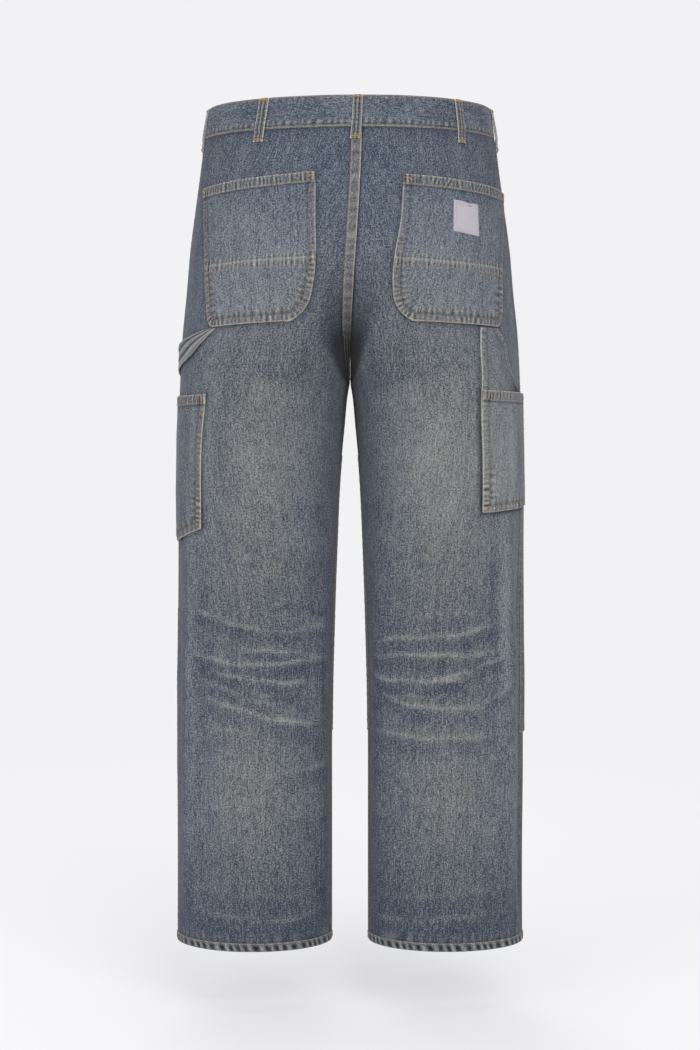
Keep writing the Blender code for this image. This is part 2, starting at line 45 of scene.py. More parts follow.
# The legs, from the same sections as the solids. The ring of a leg runs from inner to outer.
# Columns: height, outer, inner, depth to the back, depth to the front.
sections = np.array([
    (0.0190, 0.1741, -0.1741, 0.0950, 0.0920),
    (-0.0190, 0.1806, -0.1790, 0.0990, 0.0950),
    (-0.0600, 0.1860, -0.1780, 0.1070, 0.0990),
    (-0.1000, 0.1916, -0.1680, 0.1170, 0.1030),
    (-0.1550, 0.1991, -0.1420, 0.1280, 0.1070),
    (-0.2116, 0.2044, -0.0980, 0.1320, 0.1100),
    (-0.2600, 0.2094, -0.0520, 0.1300, 0.1120),
    (-0.2900, 0.2113, -0.0233, 0.1270, 0.1130),
    (-0.3100, 0.2123, -0.0054, 0.1240, 0.1140),
    (-0.3190, 0.2126, 0.0000, 0.1230, 0.1140),
    (-0.3300, 0.2132, 0.0028, 0.1215, 0.1140),
    (-0.3750, 0.2148, 0.0075, 0.1140, 0.1120),
    (-0.4380, 0.2164, 0.0132, 0.1030, 0.1070),
    (-0.5330, 0.2167, 0.0176, 0.0860, 0.0980),
    (-0.6300, 0.2176, 0.0208, 0.0710, 0.0890),
    (-0.7000, 0.2186, 0.0226, 0.0710, 0.0820),
    (-0.8000, 0.2186, 0.0234, 0.0760, 0.0700),
    (-0.9200, 0.2180, 0.0234, 0.0730, 0.0640),
    (-1.0230, 0.2185, 0.0234, 0.0690, 0.0620),
])

# The outseams' turn towards the back, in degrees. Columns: height, left leg, right leg.
outseams = np.array([(0.02, 2, 4), (-0.20, -4, 8), (-0.45, -8, 12), (-1.03, -8, 20)], float)

cut = {
    "waistTop": 0.019, "waistFoot": -0.019, "crotch": -0.319, "hem": -1.023, "hemHeight": 0.0105,
    "waistTilt": 0.0045, "hemTilt": 0.0015, "tiltFade": 0.20,
    "seatSeamShift": -0.0145, "seatSeamStraight": -0.319,
    "wall": 0.0015, "patchWall": 0.0012, "lay": 0.0006, "seam": 0.0003,
}

# The hollow between the backs of the legs, above the fork.
# Columns: height, depth, reach onto the left leg, reach onto the right leg.
forkHollow = np.array([
    (-0.140, 0.000, 0.044, 0.040), (-0.180, 0.004, 0.042, 0.036), (-0.220, 0.012, 0.038, 0.028),
    (-0.255, 0.021, 0.032, 0.020), (-0.285, 0.030, 0.025, 0.014), (-0.319, 0.034, 0.020, 0.010),
])

# Folds that run down a leg, as soft ridges and troughs.
# Columns: side, top, foot, angle at the top, angle at the foot, spread in degrees, height.
drapes = (
    (left, -0.36, -1.02, 40, 34, 11, 0.0045), (left, -0.40, -0.99, 62, 58, 12, -0.0030),
    (left, -0.34, -0.92, 14, 12, 9, -0.0035), (left, -0.50, -1.02, 150, 152, 11, 0.0030),
    (left, -0.42, -0.98, -42, -36, 13, 0.0040), (left, -0.36, -0.90, -70, -76, 14, -0.0030),
    (left, -0.56, -1.02, -120, -112, 14, 0.0035), (right, -0.36, -1.01, 40, 38, 10, 0.0048),
    (right, -0.42, -0.96, 60, 66, 13, -0.0028), (right, -0.50, -1.01, 22, 16, 7, -0.0036),
    (right, -0.44, -0.98, 146, 150, 12, 0.0030), (right, -0.40, -0.99, -38, -44, 13, 0.0042),
    (right, -0.38, -0.92, -78, -70, 14, -0.0030), (right, -0.60, -1.02, -118, -124, 13, 0.0032),
    (left, -0.30, -0.60, 128, 112, 9, -0.0016), (left, -0.62, -0.96, 96, 108, 10, 0.0014),
    (right, -0.31, -0.58, 122, 108, 9, -0.0014), (right, -0.66, -0.98, 104, 92, 11, 0.0013),
    (left, -0.30, -0.55, -150, -128, 10, 0.0016), (right, -0.30, -0.52, -146, -130, 9, 0.0018),
)

# Creases across a leg: ridges with a trough below them.
# Columns: side, start angle, end angle, start height, end height, sag in the middle, spread, depth, fade.
creases = (
    (left, 38, 106, -0.600, -0.629, 0.000, 0.0060, 0.0014, 0.8),
    (left, 92, 156, -0.627, -0.621, 0.001, 0.0055, 0.0010, 0.6),
    (left, 36, 166, -0.654, -0.658, 0.011, 0.0075, 0.0022, 1.0),
    (left, 66, 160, -0.644, -0.662, 0.000, 0.0050, 0.0012, 0.8),
    (left, 52, 146, -0.669, -0.684, 0.012, 0.0075, 0.0024, 1.0),
    (left, 42, 116, -0.683, -0.721, 0.002, 0.0060, 0.0012, 0.7),
    (left, 44, 158, -0.705, -0.748, 0.005, 0.0080, 0.0020, 0.9),
    (left, 74, 132, -0.698, -0.704, 0.004, 0.0050, 0.0009, 0.6),
    (left, 106, 164, -0.802, -0.793, 0.001, 0.0080, 0.0010, 0.5),
    (left, 50, 96, -0.742, -0.752, 0.003, 0.0060, 0.0009, 0.4),
    (left, 96, 160, -0.596, -0.612, -0.004, 0.0070, 0.0011, -0.5),
    (left, 48, 150, -0.945, -0.951, 0.004, 0.0090, 0.0012, 0.3),
    (left, 30, 160, -0.968, -0.974, 0.012, 0.0100, 0.0016, 0.5),
    (left, 80, 160, -0.505, -0.520, 0.004, 0.0140, 0.0010, 0.2),
    (right, 40, 156, -0.615, -0.640, 0.005, 0.0070, 0.0020, 0.9),
    (right, 40, 166, -0.651, -0.658, 0.002, 0.0070, 0.0020, 1.0),
    (right, 60, 166, -0.675, -0.676, 0.014, 0.0070, 0.0022, 1.0),
    (right, 56, 156, -0.717, -0.696, 0.014, 0.0080, 0.0022, 1.0),
    (right, 36, 100, -0.656, -0.686, 0.001, 0.0060, 0.0013, 0.8),
    (right, 52, 168, -0.760, -0.754, -0.001, 0.0080, 0.0014, 0.7),
    (right, 34, 66, -0.687, -0.719, 0.004, 0.0060, 0.0010, 0.6),
    (right, 84, 140, -0.702, -0.708, 0.003, 0.0050, 0.0009, 0.5),
    (right, 60, 120, -0.598, -0.606, 0.003, 0.0080, 0.0010, 0.3),
    (right, 38, 158, -0.944, -0.952, 0.005, 0.0090, 0.0012, 0.3),
    (right, 34, 170, -0.971, -0.985, 0.006, 0.0100, 0.0017, 0.5),
    (right, 84, 158, -0.520, -0.508, 0.003, 0.0140, 0.0010, 0.2),
    (left, 60, 158, -0.290, -0.336, 0.004, 0.0100, 0.0014, -0.2),
    (right, 66, 160, -0.288, -0.338, 0.004, 0.0100, 0.0015, -0.2),
    (left, -40, -140, -0.560, -0.570, 0.010, 0.0100, 0.0020, 0.5),
    (left, -46, -120, -0.610, -0.622, 0.006, 0.0090, 0.0018, 0.4),
    (left, -70, -150, -0.655, -0.648, 0.008, 0.0090, 0.0018, 0.4),
    (left, -50, -150, -0.930, -0.945, 0.012, 0.0110, 0.0024, 0.3),
    (left, -30, -110, -0.972, -0.962, 0.006, 0.0100, 0.0016, 0.3),
    (right, -44, -146, -0.575, -0.560, 0.012, 0.0100, 0.0020, 0.5),
    (right, -60, -140, -0.626, -0.616, 0.006, 0.0090, 0.0018, 0.4),
    (right, -38, -112, -0.668, -0.676, 0.008, 0.0090, 0.0017, 0.4),
    (right, -40, -144, -0.920, -0.935, 0.010, 0.0110, 0.0024, 0.3),
    (right, -70, -150, -0.968, -0.958, 0.006, 0.0100, 0.0016, 0.3),
    (left, -50, -86, -0.110, -0.214, 0.004, 0.0120, 0.0020, 0.3),
    (left, -72, -150, -0.190, -0.300, 0.006, 0.0120, 0.0022, 0.3),
    (left, -60, -140, -0.230, -0.318, 0.006, 0.0110, 0.0018, 0.3),
    (right, -48, -84, -0.118, -0.206, 0.004, 0.0120, 0.0020, 0.3),
    (right, -70, -148, -0.182, -0.292, 0.006, 0.0120, 0.0022, 0.3),
    (right, -62, -138, -0.236, -0.320, 0.006, 0.0110, 0.0018, 0.3),
)


def curveThrough(xs, ys, x):
    # A cubic through the points whose slopes are the mean of their neighbours', flattened at each peak.
    if xs[0] > xs[-1]:
        xs, ys = xs[::-1], ys[::-1]
    step = np.diff(xs)
    rise = np.diff(ys) / step
    slope = np.concatenate([[rise[0]], (rise[:-1] + rise[1:]) / 2, [rise[-1]]])
    slope[1:-1][rise[:-1] * rise[1:] <= 0] = 0
    limit = 3 * np.minimum(np.abs(np.append(rise, rise[-1])), np.abs(np.insert(rise, 0, rise[0])))
    slope = np.clip(slope, -limit, limit)
    x = np.clip(x, xs[0], xs[-1])
    k = np.clip(np.searchsorted(xs, x) - 1, 0, len(step) - 1)
    t = (x - xs[k]) / step[k]
    start = (1 + 2 * t) * (1 - t) ** 2 * ys[k] + t * (1 - t) ** 2 * step[k] * slope[k]
    return start + t ** 2 * (3 - 2 * t) * ys[k + 1] - t ** 2 * (1 - t) * step[k] * slope[k + 1]


def ease(t):  # 0 before 0, 1 after 1, 3t2 - 2t3 between
    t = unit(t)
    return t * t * (3 - 2 * t)


def unit(x):  # kept between 0 and 1
    return np.clip(x, 0, 1)


def bell(x, spread):  # 1 at 0, falling to nothing about two spreads away
    return np.exp(-(x / spread) ** 2)


def dent(away):  # the groove that a row of sewing draws in, by the distance from it
    return 0.28 * mm * bell(away, 0.7 * mm)


def crest(x, middle, spread):  # a bell about a middle, with the middle and the spread in mm
    return bell(x - middle * mm, spread * mm)


def ripple(x, period, seed, rough=0.5):
    # A wave whose period and height wander, from -1 to 1: sin of x plus slower sines of x.
    turn = 2 * math.pi * x / period
    drift = 1.1 * np.sin(turn * 0.23 + seed) + 0.8 * np.sin(turn * 0.11 + seed * 2.3)
    height = 1 - rough * (0.5 + 0.5 * np.sin(turn * 0.31 + seed * 1.7))
    return height * np.sin(turn + drift + seed * 3.1)


def ring(height):  # half width, centre, depth to the back and depth to the front of a leg
    outer, inner, back, front = (curveThrough(sections[:, 0], sections[:, k], height) for k in (1, 2, 3, 4))
    return (outer - inner) / 2, (outer + inner) / 2, back, front


def outseamAngle(height, side):
    return np.radians(curveThrough(outseams[:, 0], outseams[:, 1 if side == left else 2], height))


def seatSeamShift(height):
    return cut["seatSeamShift"] * ease((height - cut["seatSeamStraight"]) / -cut["seatSeamStraight"])


def innerAngle(height):  # the middle plane above the crotch, the inseam below it
    half, centre, back, _ = ring(height)
    cosine = np.clip((cut["seam"] / 2 - centre) / half, -1, 1)
    return np.minimum(np.arccos(cosine), math.pi - cut["seam"] / 2 / back)


def speedAt(angle, height):  # metres of cloth to a radian
    half, _, back, front = ring(height)
    depth = np.where(np.sin(angle) >= 0, back, front)
    return np.hypot(half * np.sin(angle), depth * np.cos(angle))


def creaseParts(angle, height, side):
    # Each crease is a bell across a sagging line, with a wider shallow bell below it, faded at its ends.
    turn = np.degrees(angle)
    depth = np.zeros(np.broadcast(angle, height).shape)
    tone = np.zeros_like(depth)
    for k, (own, start, end, heightStart, heightEnd, sag, spread, rise, light) in enumerate(creases):
        if own != side:
            continue
        across = (turn - start) / (end - start)
        wander = 0.0016 * np.sin(across * 9 + k) + 0.0008 * np.sin(across * 23 + 2 * k)
        middle = heightStart + (heightEnd - heightStart) * across - 4 * sag * across * (1 - across) + wander
        fade = ease(across * 4) * ease((1 - across) * 4) * (0.75 + 0.25 * np.sin(across * 13 + 3 * k))
        ridge = bell(height - middle, spread) * fade
        trough = bell(height - middle + 1.9 * spread, spread * 1.3) * fade
        depth = depth + rise * (ridge - 0.45 * trough)
        tone = tone + light * (bell(height - middle, 1.6 * mm + spread * 0.18) * fade - 0.40 * trough)
    return depth, tone


def drapeDepth(angle, height, side):
    turn = np.degrees(angle)
    depth = np.zeros(np.broadcast(angle, height).shape)
    for k, (own, top, foot, angleTop, angleFoot, spread, rise) in enumerate(drapes):
        if own != side:
            continue
        down = (top - height) / (top - foot)
        middle = angleTop + (angleFoot - angleTop) * down + 1.6 * np.sin(down * 7 + k)
        depth = depth + rise * ease(down * 4) * ease((1 - down) * 8) * bell(turn - middle, spread)
    return depth


def slackDepth(angle, height, side):
    # A slow unevenness all over the cloth: three sines of height and angle, less near the waist.
    calm = 0.25 + 0.75 * ease((-0.05 - height) / 0.25)
    wave = np.sin(height * 34 + 2.1 * angle + side) + np.sin(height * 57 - 3.3 * angle + 2 * side)
    wave = wave + 0.7 * np.sin(height * 21 + 5.2 * angle + 4 + side)
    return 0.00042 * calm * wave * np.sin(np.clip(np.abs(angle), 0, math.pi))


def forkParts(x, height, side):
    # Depth times (1 - t) to the power 1.25, where t runs from the seat seam to the reach; never past the
    # fork.
    deep, reach = (curveThrough(forkHollow[:, 0], forkHollow[:, k], height)
                   for k in (1, 2 if side == left else 3))
    deep = np.minimum(deep, 0.62 * ring(height)[2] * np.sin(innerAngle(height)))
    return deep, (1 - unit(np.abs(x) / reach)) ** 1.25


def foldDepth(angle, height, side):
    creases = creaseParts(angle, height, side)[0]
    return drapeDepth(angle, height, side) + creases + slackDepth(angle, height, side)


def legSurface(angle, height, side, fold=foldDepth):
    # An ellipse with a back and a front depth, pushed out by the folds, then tilted at the waist and the hem.
    half, centre, back, front = ring(height)
    depth = np.where(np.sin(angle) >= 0, back, front)
    across, along = np.cos(angle) / half, np.sin(angle) / depth
    push = fold(angle, height, side) / np.hypot(across, along)
    x = centre + half * np.cos(angle) + push * across
    deep, share = forkParts(x, height, side)
    y = depth * np.sin(angle) + push * along - deep * share * (np.sin(angle) > 0)
    shift = seatSeamShift(height) * unit(np.sin(angle)) * unit(1 - (x / (half + centre)) ** 2)
    z = height + cut["waistTilt"] * np.sin(angle) * ease(1 + (height - cut["waistTop"]) / cut["tiltFade"])
    z = z - cut["hemTilt"] * np.sin(angle) * ease(1 - (height - cut["hem"]) / cut["tiltFade"])
    return np.stack([side * x + shift, y, z], axis=-1)


def legNormal(angle, height, side, fold=foldDepth):  # the cross product of the surface's two directions
    turn, rise = 0.006, 0.0008
    over = legSurface(angle + turn, height, side, fold) - legSurface(angle - turn, height, side, fold)
    up = legSurface(angle, height + rise, side, fold) - legSurface(angle, height - rise, side, fold)
    normal = np.cross(over, up) * side
    return normal / np.linalg.norm(normal, axis=-1, keepdims=True)


def onLeg(angle, height, side, lift, fold=foldDepth):  # a point lifted off the leg along its normal
    angle, height = np.broadcast_arrays(angle, height)
    lift = np.broadcast_to(lift, angle.shape)[..., None]
    return legSurface(angle, height, side, fold) + legNormal(angle, height, side, fold) * lift


def nearPath(points, path):
    # Distance from each point to a path of straight steps, and how far along the path that is.
    flat = points.reshape(-1, 3)
    start, step = path[:-1], np.diff(path, axis=0)
    length = np.linalg.norm(step, axis=1)
    before = np.concatenate([[0], np.cumsum(length)[:-1]])
    away = np.full(len(flat), 9.0)
    place = np.zeros(len(flat))
    for a, s, l, b in zip(start, step, length, before):
        t = unit(((flat - a) @ s) / max(l * l, 1e-12))
        gap = np.linalg.norm(flat - a - t[:, None] * s, axis=1)
        nearer = gap < away
        away = np.where(nearer, gap, away)
        place = np.where(nearer, b + t * l, place)
    return away.reshape(points.shape[:-1]), place.reshape(points.shape[:-1])


def evenSteps(path, pitch):
    # The path's points again, the same distance apart, with what else stands in their rows carried along.
    length = np.concatenate([[0], np.cumsum(np.linalg.norm(np.diff(path[:, :3], axis=0), axis=1))])
    count = max(2, int(round(length[-1] / pitch)))
    at = (np.arange(count) + 0.5) / count * length[-1]
    return np.stack([np.interp(at, length, path[:, k]) for k in range(path.shape[1])], axis=-1)


# Meshes
clothCollection = bpy.data.collections.new("jeans")
bpy.context.scene.collection.children.link(clothCollection)


def evenGrid(columns, rows):  # places from 0 to 1 across and down a piece
    across, down = np.linspace(0, 1, columns + 1), np.linspace(0, 1, rows + 1)
    return np.broadcast_arrays(across[None, :], down[:, None])


def weld(piece):  # the grid's first and last columns become one
    work = bmesh.new()
    work.from_mesh(piece.data)
    bmesh.ops.remove_doubles(work, verts=work.verts, dist=1e-6)
    work.to_mesh(piece.data)
    work.free()


def gridObject(name, points, uv, marks, finishes, wall, node, outward=None):
    # A grid of points becomes quads. Marks are kept as attributes, and Solidify gives the cloth its wall.
    rows, columns = points.shape[0] - 1, points.shape[1] - 1
    index = np.arange((rows + 1) * (columns + 1)).reshape(rows + 1, columns + 1)
    quads = np.stack([index[:-1, :-1], index[:-1, 1:], index[1:, 1:], index[1:, :-1]], -1).reshape(-1, 4)
    if outward is not None:
        corner = points.reshape(-1, 3)[quads]
        facing = np.cross(corner[:, 2] - corner[:, 0], corner[:, 3] - corner[:, 1])
        if (facing * outward.reshape(-1, 3)[quads[:, 0]]).sum() < 0:
            quads = quads[:, ::-1]
    if "fade" in marks and "warm" not in marks:
        marks["warm"] = warmAt(points)
    mesh = bpy.data.meshes.new(name)
    mesh.vertices.add(index.size)
    mesh.vertices.foreach_set("co", points.astype(np.float32).ravel())
    mesh.loops.add(quads.size)
    mesh.loops.foreach_set("vertex_index", quads.astype(np.int32).ravel())
    mesh.polygons.add(len(quads))
    mesh.polygons.foreach_set("loop_start", np.arange(0, quads.size, 4, dtype=np.int32))
    mesh.update(calc_edges=True)
    mesh.validate()
    mesh.shade_smooth()
    layer = mesh.uv_layers.new(name="cloth")
    layer.data.foreach_set("uv", uv.reshape(-1, 2)[quads.ravel()].astype(np.float32).ravel())
    for mark, values in marks.items():
        attribute = mesh.attributes.new(mark, "FLOAT", "POINT")
        attribute.data.foreach_set("value", np.broadcast_to(values, index.shape).astype(np.float32).ravel())
    for finish in finishes:
        mesh.materials.append(finish)
    piece = bpy.data.objects.new(name + "_cloth", mesh)
    clothCollection.objects.link(piece)
    if wall:
        solid = piece.modifiers.new("wall", "SOLIDIFY")
        solid.thickness = wall
        solid.offset = -1
        solid.material_offset = len(finishes) - 1
        solid.use_quality_normals = True
    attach(piece, "root")
    if node:
        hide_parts(node)
    if wall:
        declared.append((name, piece, points))
    return piece


# How each piece of cloth is held, and by what
holds = {
    "waistband": ("hung", []), "fly": ("laid", ["front_left"]),
    "hammer_loop": ("laid", ["back_left", "ruler_pocket"]),
    "back_pocket_left": ("laid", ["back_left"]), "back_pocket_right": ("laid", ["back_right"]),
    "tool_pocket": ("laid", ["back_right"]), "tool_pocket_front": ("laid", ["tool_pocket"]),
    "ruler_pocket": ("laid", ["back_left", "front_left"]), "pocket_label": ("laid", ["back_pocket_right"]),
}
for half in ("left", "right"):
    holds[f"back_{half}"] = holds[f"front_{half}"] = ("hung", ["waistband"])
    holds[f"knee_panel_{half}"] = holds[f"front_pocket_facing_{half}"] = ("laid", [f"front_{half}"])
    holds[f"hem_{half}"] = ("folded", [f"back_{half}", f"front_{half}"])
declared = []


def cutSheet(piece, points, held, restsOn):
    # The flat size is the reach of the cloth's own lengths; its flat area is the sum of the grid's faces.
    cross = np.cross(points[1:, 1:] - points[:-1, :-1], points[1:, :-1] - points[:-1, 1:])
    area = float(np.linalg.norm(cross, axis=-1).sum() / 2)
    steps = np.linalg.norm(np.diff(points, axis=1), axis=-1).sum(axis=1)
    rises = np.linalg.norm(np.diff(points, axis=0), axis=-1).sum(axis=0)
    width, length = float(steps.max()), float(rises.max())
    area = min(area, width * length)
    print(f"{piece.name}: {width:.3f} by {length:.3f} m, {area:.4f} square metres")


# Where the cloth is paler or darker
# Columns: height, how faded the back and the front are at that height.
fadeLevels = np.array([
    (0.02, 0.30, 0.34), (-0.06, 0.30, 0.36), (-0.14, 0.33, 0.44), (-0.25, 0.42, 0.52), (-0.33, 0.50, 0.58),
    (-0.42, 0.56, 0.62), (-0.54, 0.50, 0.58), (-0.62, 0.42, 0.60), (-0.70, 0.42, 0.56), (-0.80, 0.45, 0.50),
    (-0.90, 0.38, 0.44), (-0.97, 0.22, 0.30), (-1.03, 0.14, 0.20),
])
# Columns: side, angle, height, spread in degrees, spread in height, amount.
fadeSpots = (
    (left, 96, -0.430, 34, 0.090, 0.08), (right, 92, -0.420, 36, 0.095, 0.24),
    (left, 30, -0.420, 16, 0.200, -0.12), (right, 150, -0.420, 26, 0.160, -0.20),
    (left, 150, -0.430, 24, 0.160, -0.16), (left, 84, -0.820, 34, 0.090, 0.12),
    (right, 84, -0.820, 36, 0.090, 0.10), (left, 160, -0.800, 20, 0.240, -0.16),
    (right, 158, -0.800, 20, 0.240, -0.16), (left, 18, -0.800, 14, 0.240, -0.18),
    (right, 12, -0.780, 12, 0.240, -0.12), (left, 98, -0.640, 30, 0.050, -0.06),
    (left, 60, -0.210, 26, 0.060, 0.10), (right, 60, -0.210, 26, 0.060, 0.12),
    (right, 43, -0.590, 5, 0.110, 0.34), (right, 53, -0.600, 4, 0.110, -0.16),
    (right, 36, -0.850, 5, 0.100, 0.14), (left, 39, -0.640, 4, 0.140, 0.20),
    (left, 51, -0.660, 5, 0.170, -0.14), (left, 28, -0.700, 5, 0.200, -0.10),
    (left, 66, -0.390, 7, 0.120, -0.12), (left, 54, -0.400, 5, 0.130, 0.14),
    (left, 41, -0.370, 3, 0.060, 0.18), (left, 112, -0.290, 20, 0.040, -0.12),
    (right, 112, -0.290, 20, 0.040, -0.10), (left, -90, -0.450, 34, 0.150, 0.16),
    (right, -90, -0.450, 34, 0.150, 0.16), (left, -88, -0.640, 30, 0.080, 0.10),
    (right, -92, -0.640, 30, 0.080, 0.10), (left, -150, -0.500, 26, 0.200, -0.15),
    (right, -150, -0.500, 26, 0.200, -0.15),
)


def fadeAt(angle, height, side):
    # The level at this height, plus a bell at each spot and the pale and dark lines of the creases.
    isBack = 0.5 + 0.5 * np.tanh(np.sin(angle) * 6)
    back, front = (curveThrough(fadeLevels[:, 0], fadeLevels[:, k], height) for k in (1, 2))
    fade = front + (back - front) * isBack
    fade = fade - 0.10 * (1 - np.abs(np.sin(angle))) ** 2
    for own, atAngle, atHeight, spreadAngle, spreadHeight, amount in fadeSpots:
        if own == side:
            fade = fade + amount * bell(np.degrees(angle) - atAngle, spreadAngle) * bell(height - atHeight,
                    spreadHeight)
    return fade + 0.56 * creaseParts(angle, height, side)[1]


def warmAt(points):  # greyer in the middle of the leg, bluer at its sides and above the thighs
    _, _, back, front = ring(points[..., 2])
    share = np.abs(points[..., 1]) / np.where(points[..., 1] > 0, back, front)
    return unit(share) ** 3 * ease((-0.12 - points[..., 2]) / 0.22)


# Leg panels
panelSpec = {
    "pitch": 0.0056, "rowPitch": 0.0045, "kneePitch": 0.0021, "knee": (-0.575, -0.775),
    "edgeSteps": (0, 0.7, 1.5, 2.5, 3.6, 4.8, 6, 7.2, 8.4, 9.6, 10.6, 11.6, 12.6, 14, 17),
    "rollIn": 0.9 * mm, "feltWidth": 12.0 * mm, "feltRise": 0.8 * mm,
    "feltRows": (1.8 * mm, 6.0 * mm, 10.3 * mm),
    "seamRidge": 0.45 * mm, "seamRidgeWidth": 9.5 * mm, "frontPocketFoot": -0.172, "frontPocketReach": 0.085,
    "mouthRows": (2.2 * mm, 8.5 * mm), "mouthTurn": 0.5,
}


def mouthReach(height):  # how far a front pocket's mouth is from the outseam, as a power of the height
    up = unit((height - panelSpec["frontPocketFoot"]) / (cut["waistFoot"] - panelSpec["frontPocketFoot"]))
    return panelSpec["frontPocketReach"] * up ** 0.75


def frontStart(height, side, reach):
    half, _, _, front = ring(height)
    speed = np.hypot(half * np.sin(panelSpec["mouthTurn"]), front * np.cos(panelSpec["mouthTurn"]))
    return cut["seam"] / 2 / front - outseamAngle(height, side) + reach / speed


def panelStart(height, side, isBack):
    if isBack:
        return outseamAngle(height, side) + cut["seam"] / 2 / ring(height)[2]
    return frontStart(height, side, mouthReach(height))


def feltStrip(edge, along, side):
    # A flat-felled strip: a step up, grooves along its rows of sewing, and puckers between them.
    step = ease((panelSpec["feltWidth"] - edge) / (0.9 * mm))
    ropes = ripple(along, 7.5 * mm, side + 2) * step * ease(edge / (1.5 * mm))
    groove = sum(crest(edge - row, 0, 0.8) for row in panelSpec["feltRows"])
    lift = step * panelSpec["feltRise"] - 0.35 * mm * groove * step + 0.22 * mm * ropes
    worn = 0.55 * crest(edge - panelSpec["feltWidth"], -0.6, 1.0) + 0.75 * crest(edge, 0.4, 1.3)
    # painted shade beside the strip's raised edge, between its puckers and in its grooves
    painted_shade = 0.5 * crest(edge - panelSpec["feltWidth"], 1.0, 1.2) + 0.35 * unit(-ropes) + 0.2 * groove * step
    return lift, worn + step * (0.10 + 0.35 * unit(ropes)), painted_shade


def panelRelief(angle, height, side, isBack):
    # Lift above the smooth leg, with how worn the cloth is there and the shade painted on it.
    turn = np.abs(angle)
    speed = speedAt(angle, height)
    outer = (turn - panelStart(height, side, isBack)) * speed
    inner = (innerAngle(height) - turn) * speed
    arc = turn * speed
    waist = cut["waistFoot"] - height
    hem = height - cut["hem"] - cut["hemHeight"]
    inMouth = 0.0 if isBack else ease((height - panelSpec["frontPocketFoot"] + 0.004) / 0.008)
    ropesOut = ripple(height, 9 * mm, side * 2 + isBack)
    ridge = 1 - ease((outer - panelSpec["seamRidgeWidth"]) / (2.5 * mm))
    lift = -panelSpec["rollIn"] * crest(outer, 0, 1.1)
    lift = lift + ridge * (panelSpec["seamRidge"] * (1 if isBack else 0.6) + 0.16 * mm * ropesOut)
    worn = 0.85 * crest(outer, 0.8, 1.5) + ridge * 0.16 * unit(ropesOut)
    worn = worn + inMouth * 0.35 * crest(outer, 0, 2.2)
    # painted shade beside the outseam's ridge, between its puckers and in the seam; further down, the same in
    # the inseam, at the waist seam and along the hem
    painted_shade = 0.30 * crest(outer - panelSpec["seamRidgeWidth"], 2, 2) + ridge * 0.18 * unit(-ropesOut)
    painted_shade = painted_shade + 0.5 * crest(outer, 0, 0.5)
    felted = isBack and side == left
    felt = feltStrip(inner, height, side)
    share = 1.0 if felted else (ease((cut["crotch"] - height) / 0.006) if isBack else 0.0)
    lift = lift + share * felt[0] - (1 - share) * panelSpec["rollIn"] * crest(inner, 0, 1.2)
    worn = worn + share * felt[1]
    painted_shade = painted_shade + share * felt[2] + (1 - share) * 0.55 * crest(inner, 0, 2.4)
    waistRopes = ripple(arc, 11 * mm, side + 5)
    lift = lift + 0.25 * mm * waistRopes * crest(waist, 0, 7) - 0.4 * mm * crest(waist, 0, 1.2)
    painted_shade = painted_shade + 0.42 * crest(waist, 0, 3.5) + 0.12 * crest(waist, 0, 14)
    hemRopes = ripple(arc, 10.5 * mm, side + 1)
    lift = lift + 0.40 * mm * hemRopes * crest(hem, 0, 9) - 0.3 * mm * crest(hem, 0, 1.5)
    worn = worn + 0.30 * unit(hemRopes) * crest(hem, 0, 8)
    painted_shade = painted_shade + 0.30 * unit(-hemRopes) * crest(hem, 0, 8) + 0.30 * crest(hem, 0, 2.0)
    # painted shade in the hollow between the backs of the legs above the fork, less on the felled strip, and
    # along the inner edges just below the crotch
    if isBack:
        reach = curveThrough(forkHollow[:, 0], forkHollow[:, 2 if side == left else 3], height)
        deeper = ease((-0.160 - height) / 0.13) * ease((height + 0.44) / 0.10)
        strip = 1 - 0.75 * (felted * (inner < panelSpec["feltWidth"]) * ease((height + 0.285) / 0.05))
        shaded = ease(1.5 - inner / (reach + 6 * mm)) * (0.55 + 0.75 * ease((-0.24 - height) / 0.08))
        painted_shade = painted_shade + 1.25 * deeper * shaded * strip
        painted_shade = painted_shade + 0.38 * crest(inner, 0, 22) * ease((cut["crotch"] + 0.02 - height) / 0.05)
    return lift, worn, painted_shade


def panelGrid(side, isBack, foot):
    spec = panelSpec
    kneeTop, kneeFoot = spec["knee"]
    height = np.concatenate([np.arange(cut["waistFoot"] - cut["seam"], kneeTop, -spec["rowPitch"]),
                             np.arange(kneeTop, kneeFoot, -spec["kneePitch"]),
                             np.linspace(kneeFoot, foot, int((kneeFoot - foot) / spec["rowPitch"]))])[:, None]
    edge = np.array(spec["edgeSteps"]) * mm
    start, end = panelStart(height, side, isBack), innerAngle(height)
    middle = (start + end) / 2
    fineOut = start + edge / speedAt(start, height)
    fineIn = end - edge[::-1] / speedAt(end, height)
    widest = float(((end - start) * speedAt(middle, height)).max())
    inside = np.linspace(0, 1, int(widest / spec["pitch"]) + 2)[1:-1]
    across = fineOut[:, -1:] + (fineIn[:, :1] - fineOut[:, -1:]) * inside
    turn = np.concatenate([fineOut, across, fineIn], axis=1)
    return turn, np.broadcast_to(height, turn.shape)


def arcLength(angle, height):
    speed = speedAt(angle, height)
    step = np.diff(angle, axis=1) * (speed[:, 1:] + speed[:, :-1]) / 2
    return np.concatenate([np.zeros((len(angle), 1)), np.cumsum(step, axis=1)], axis=1)


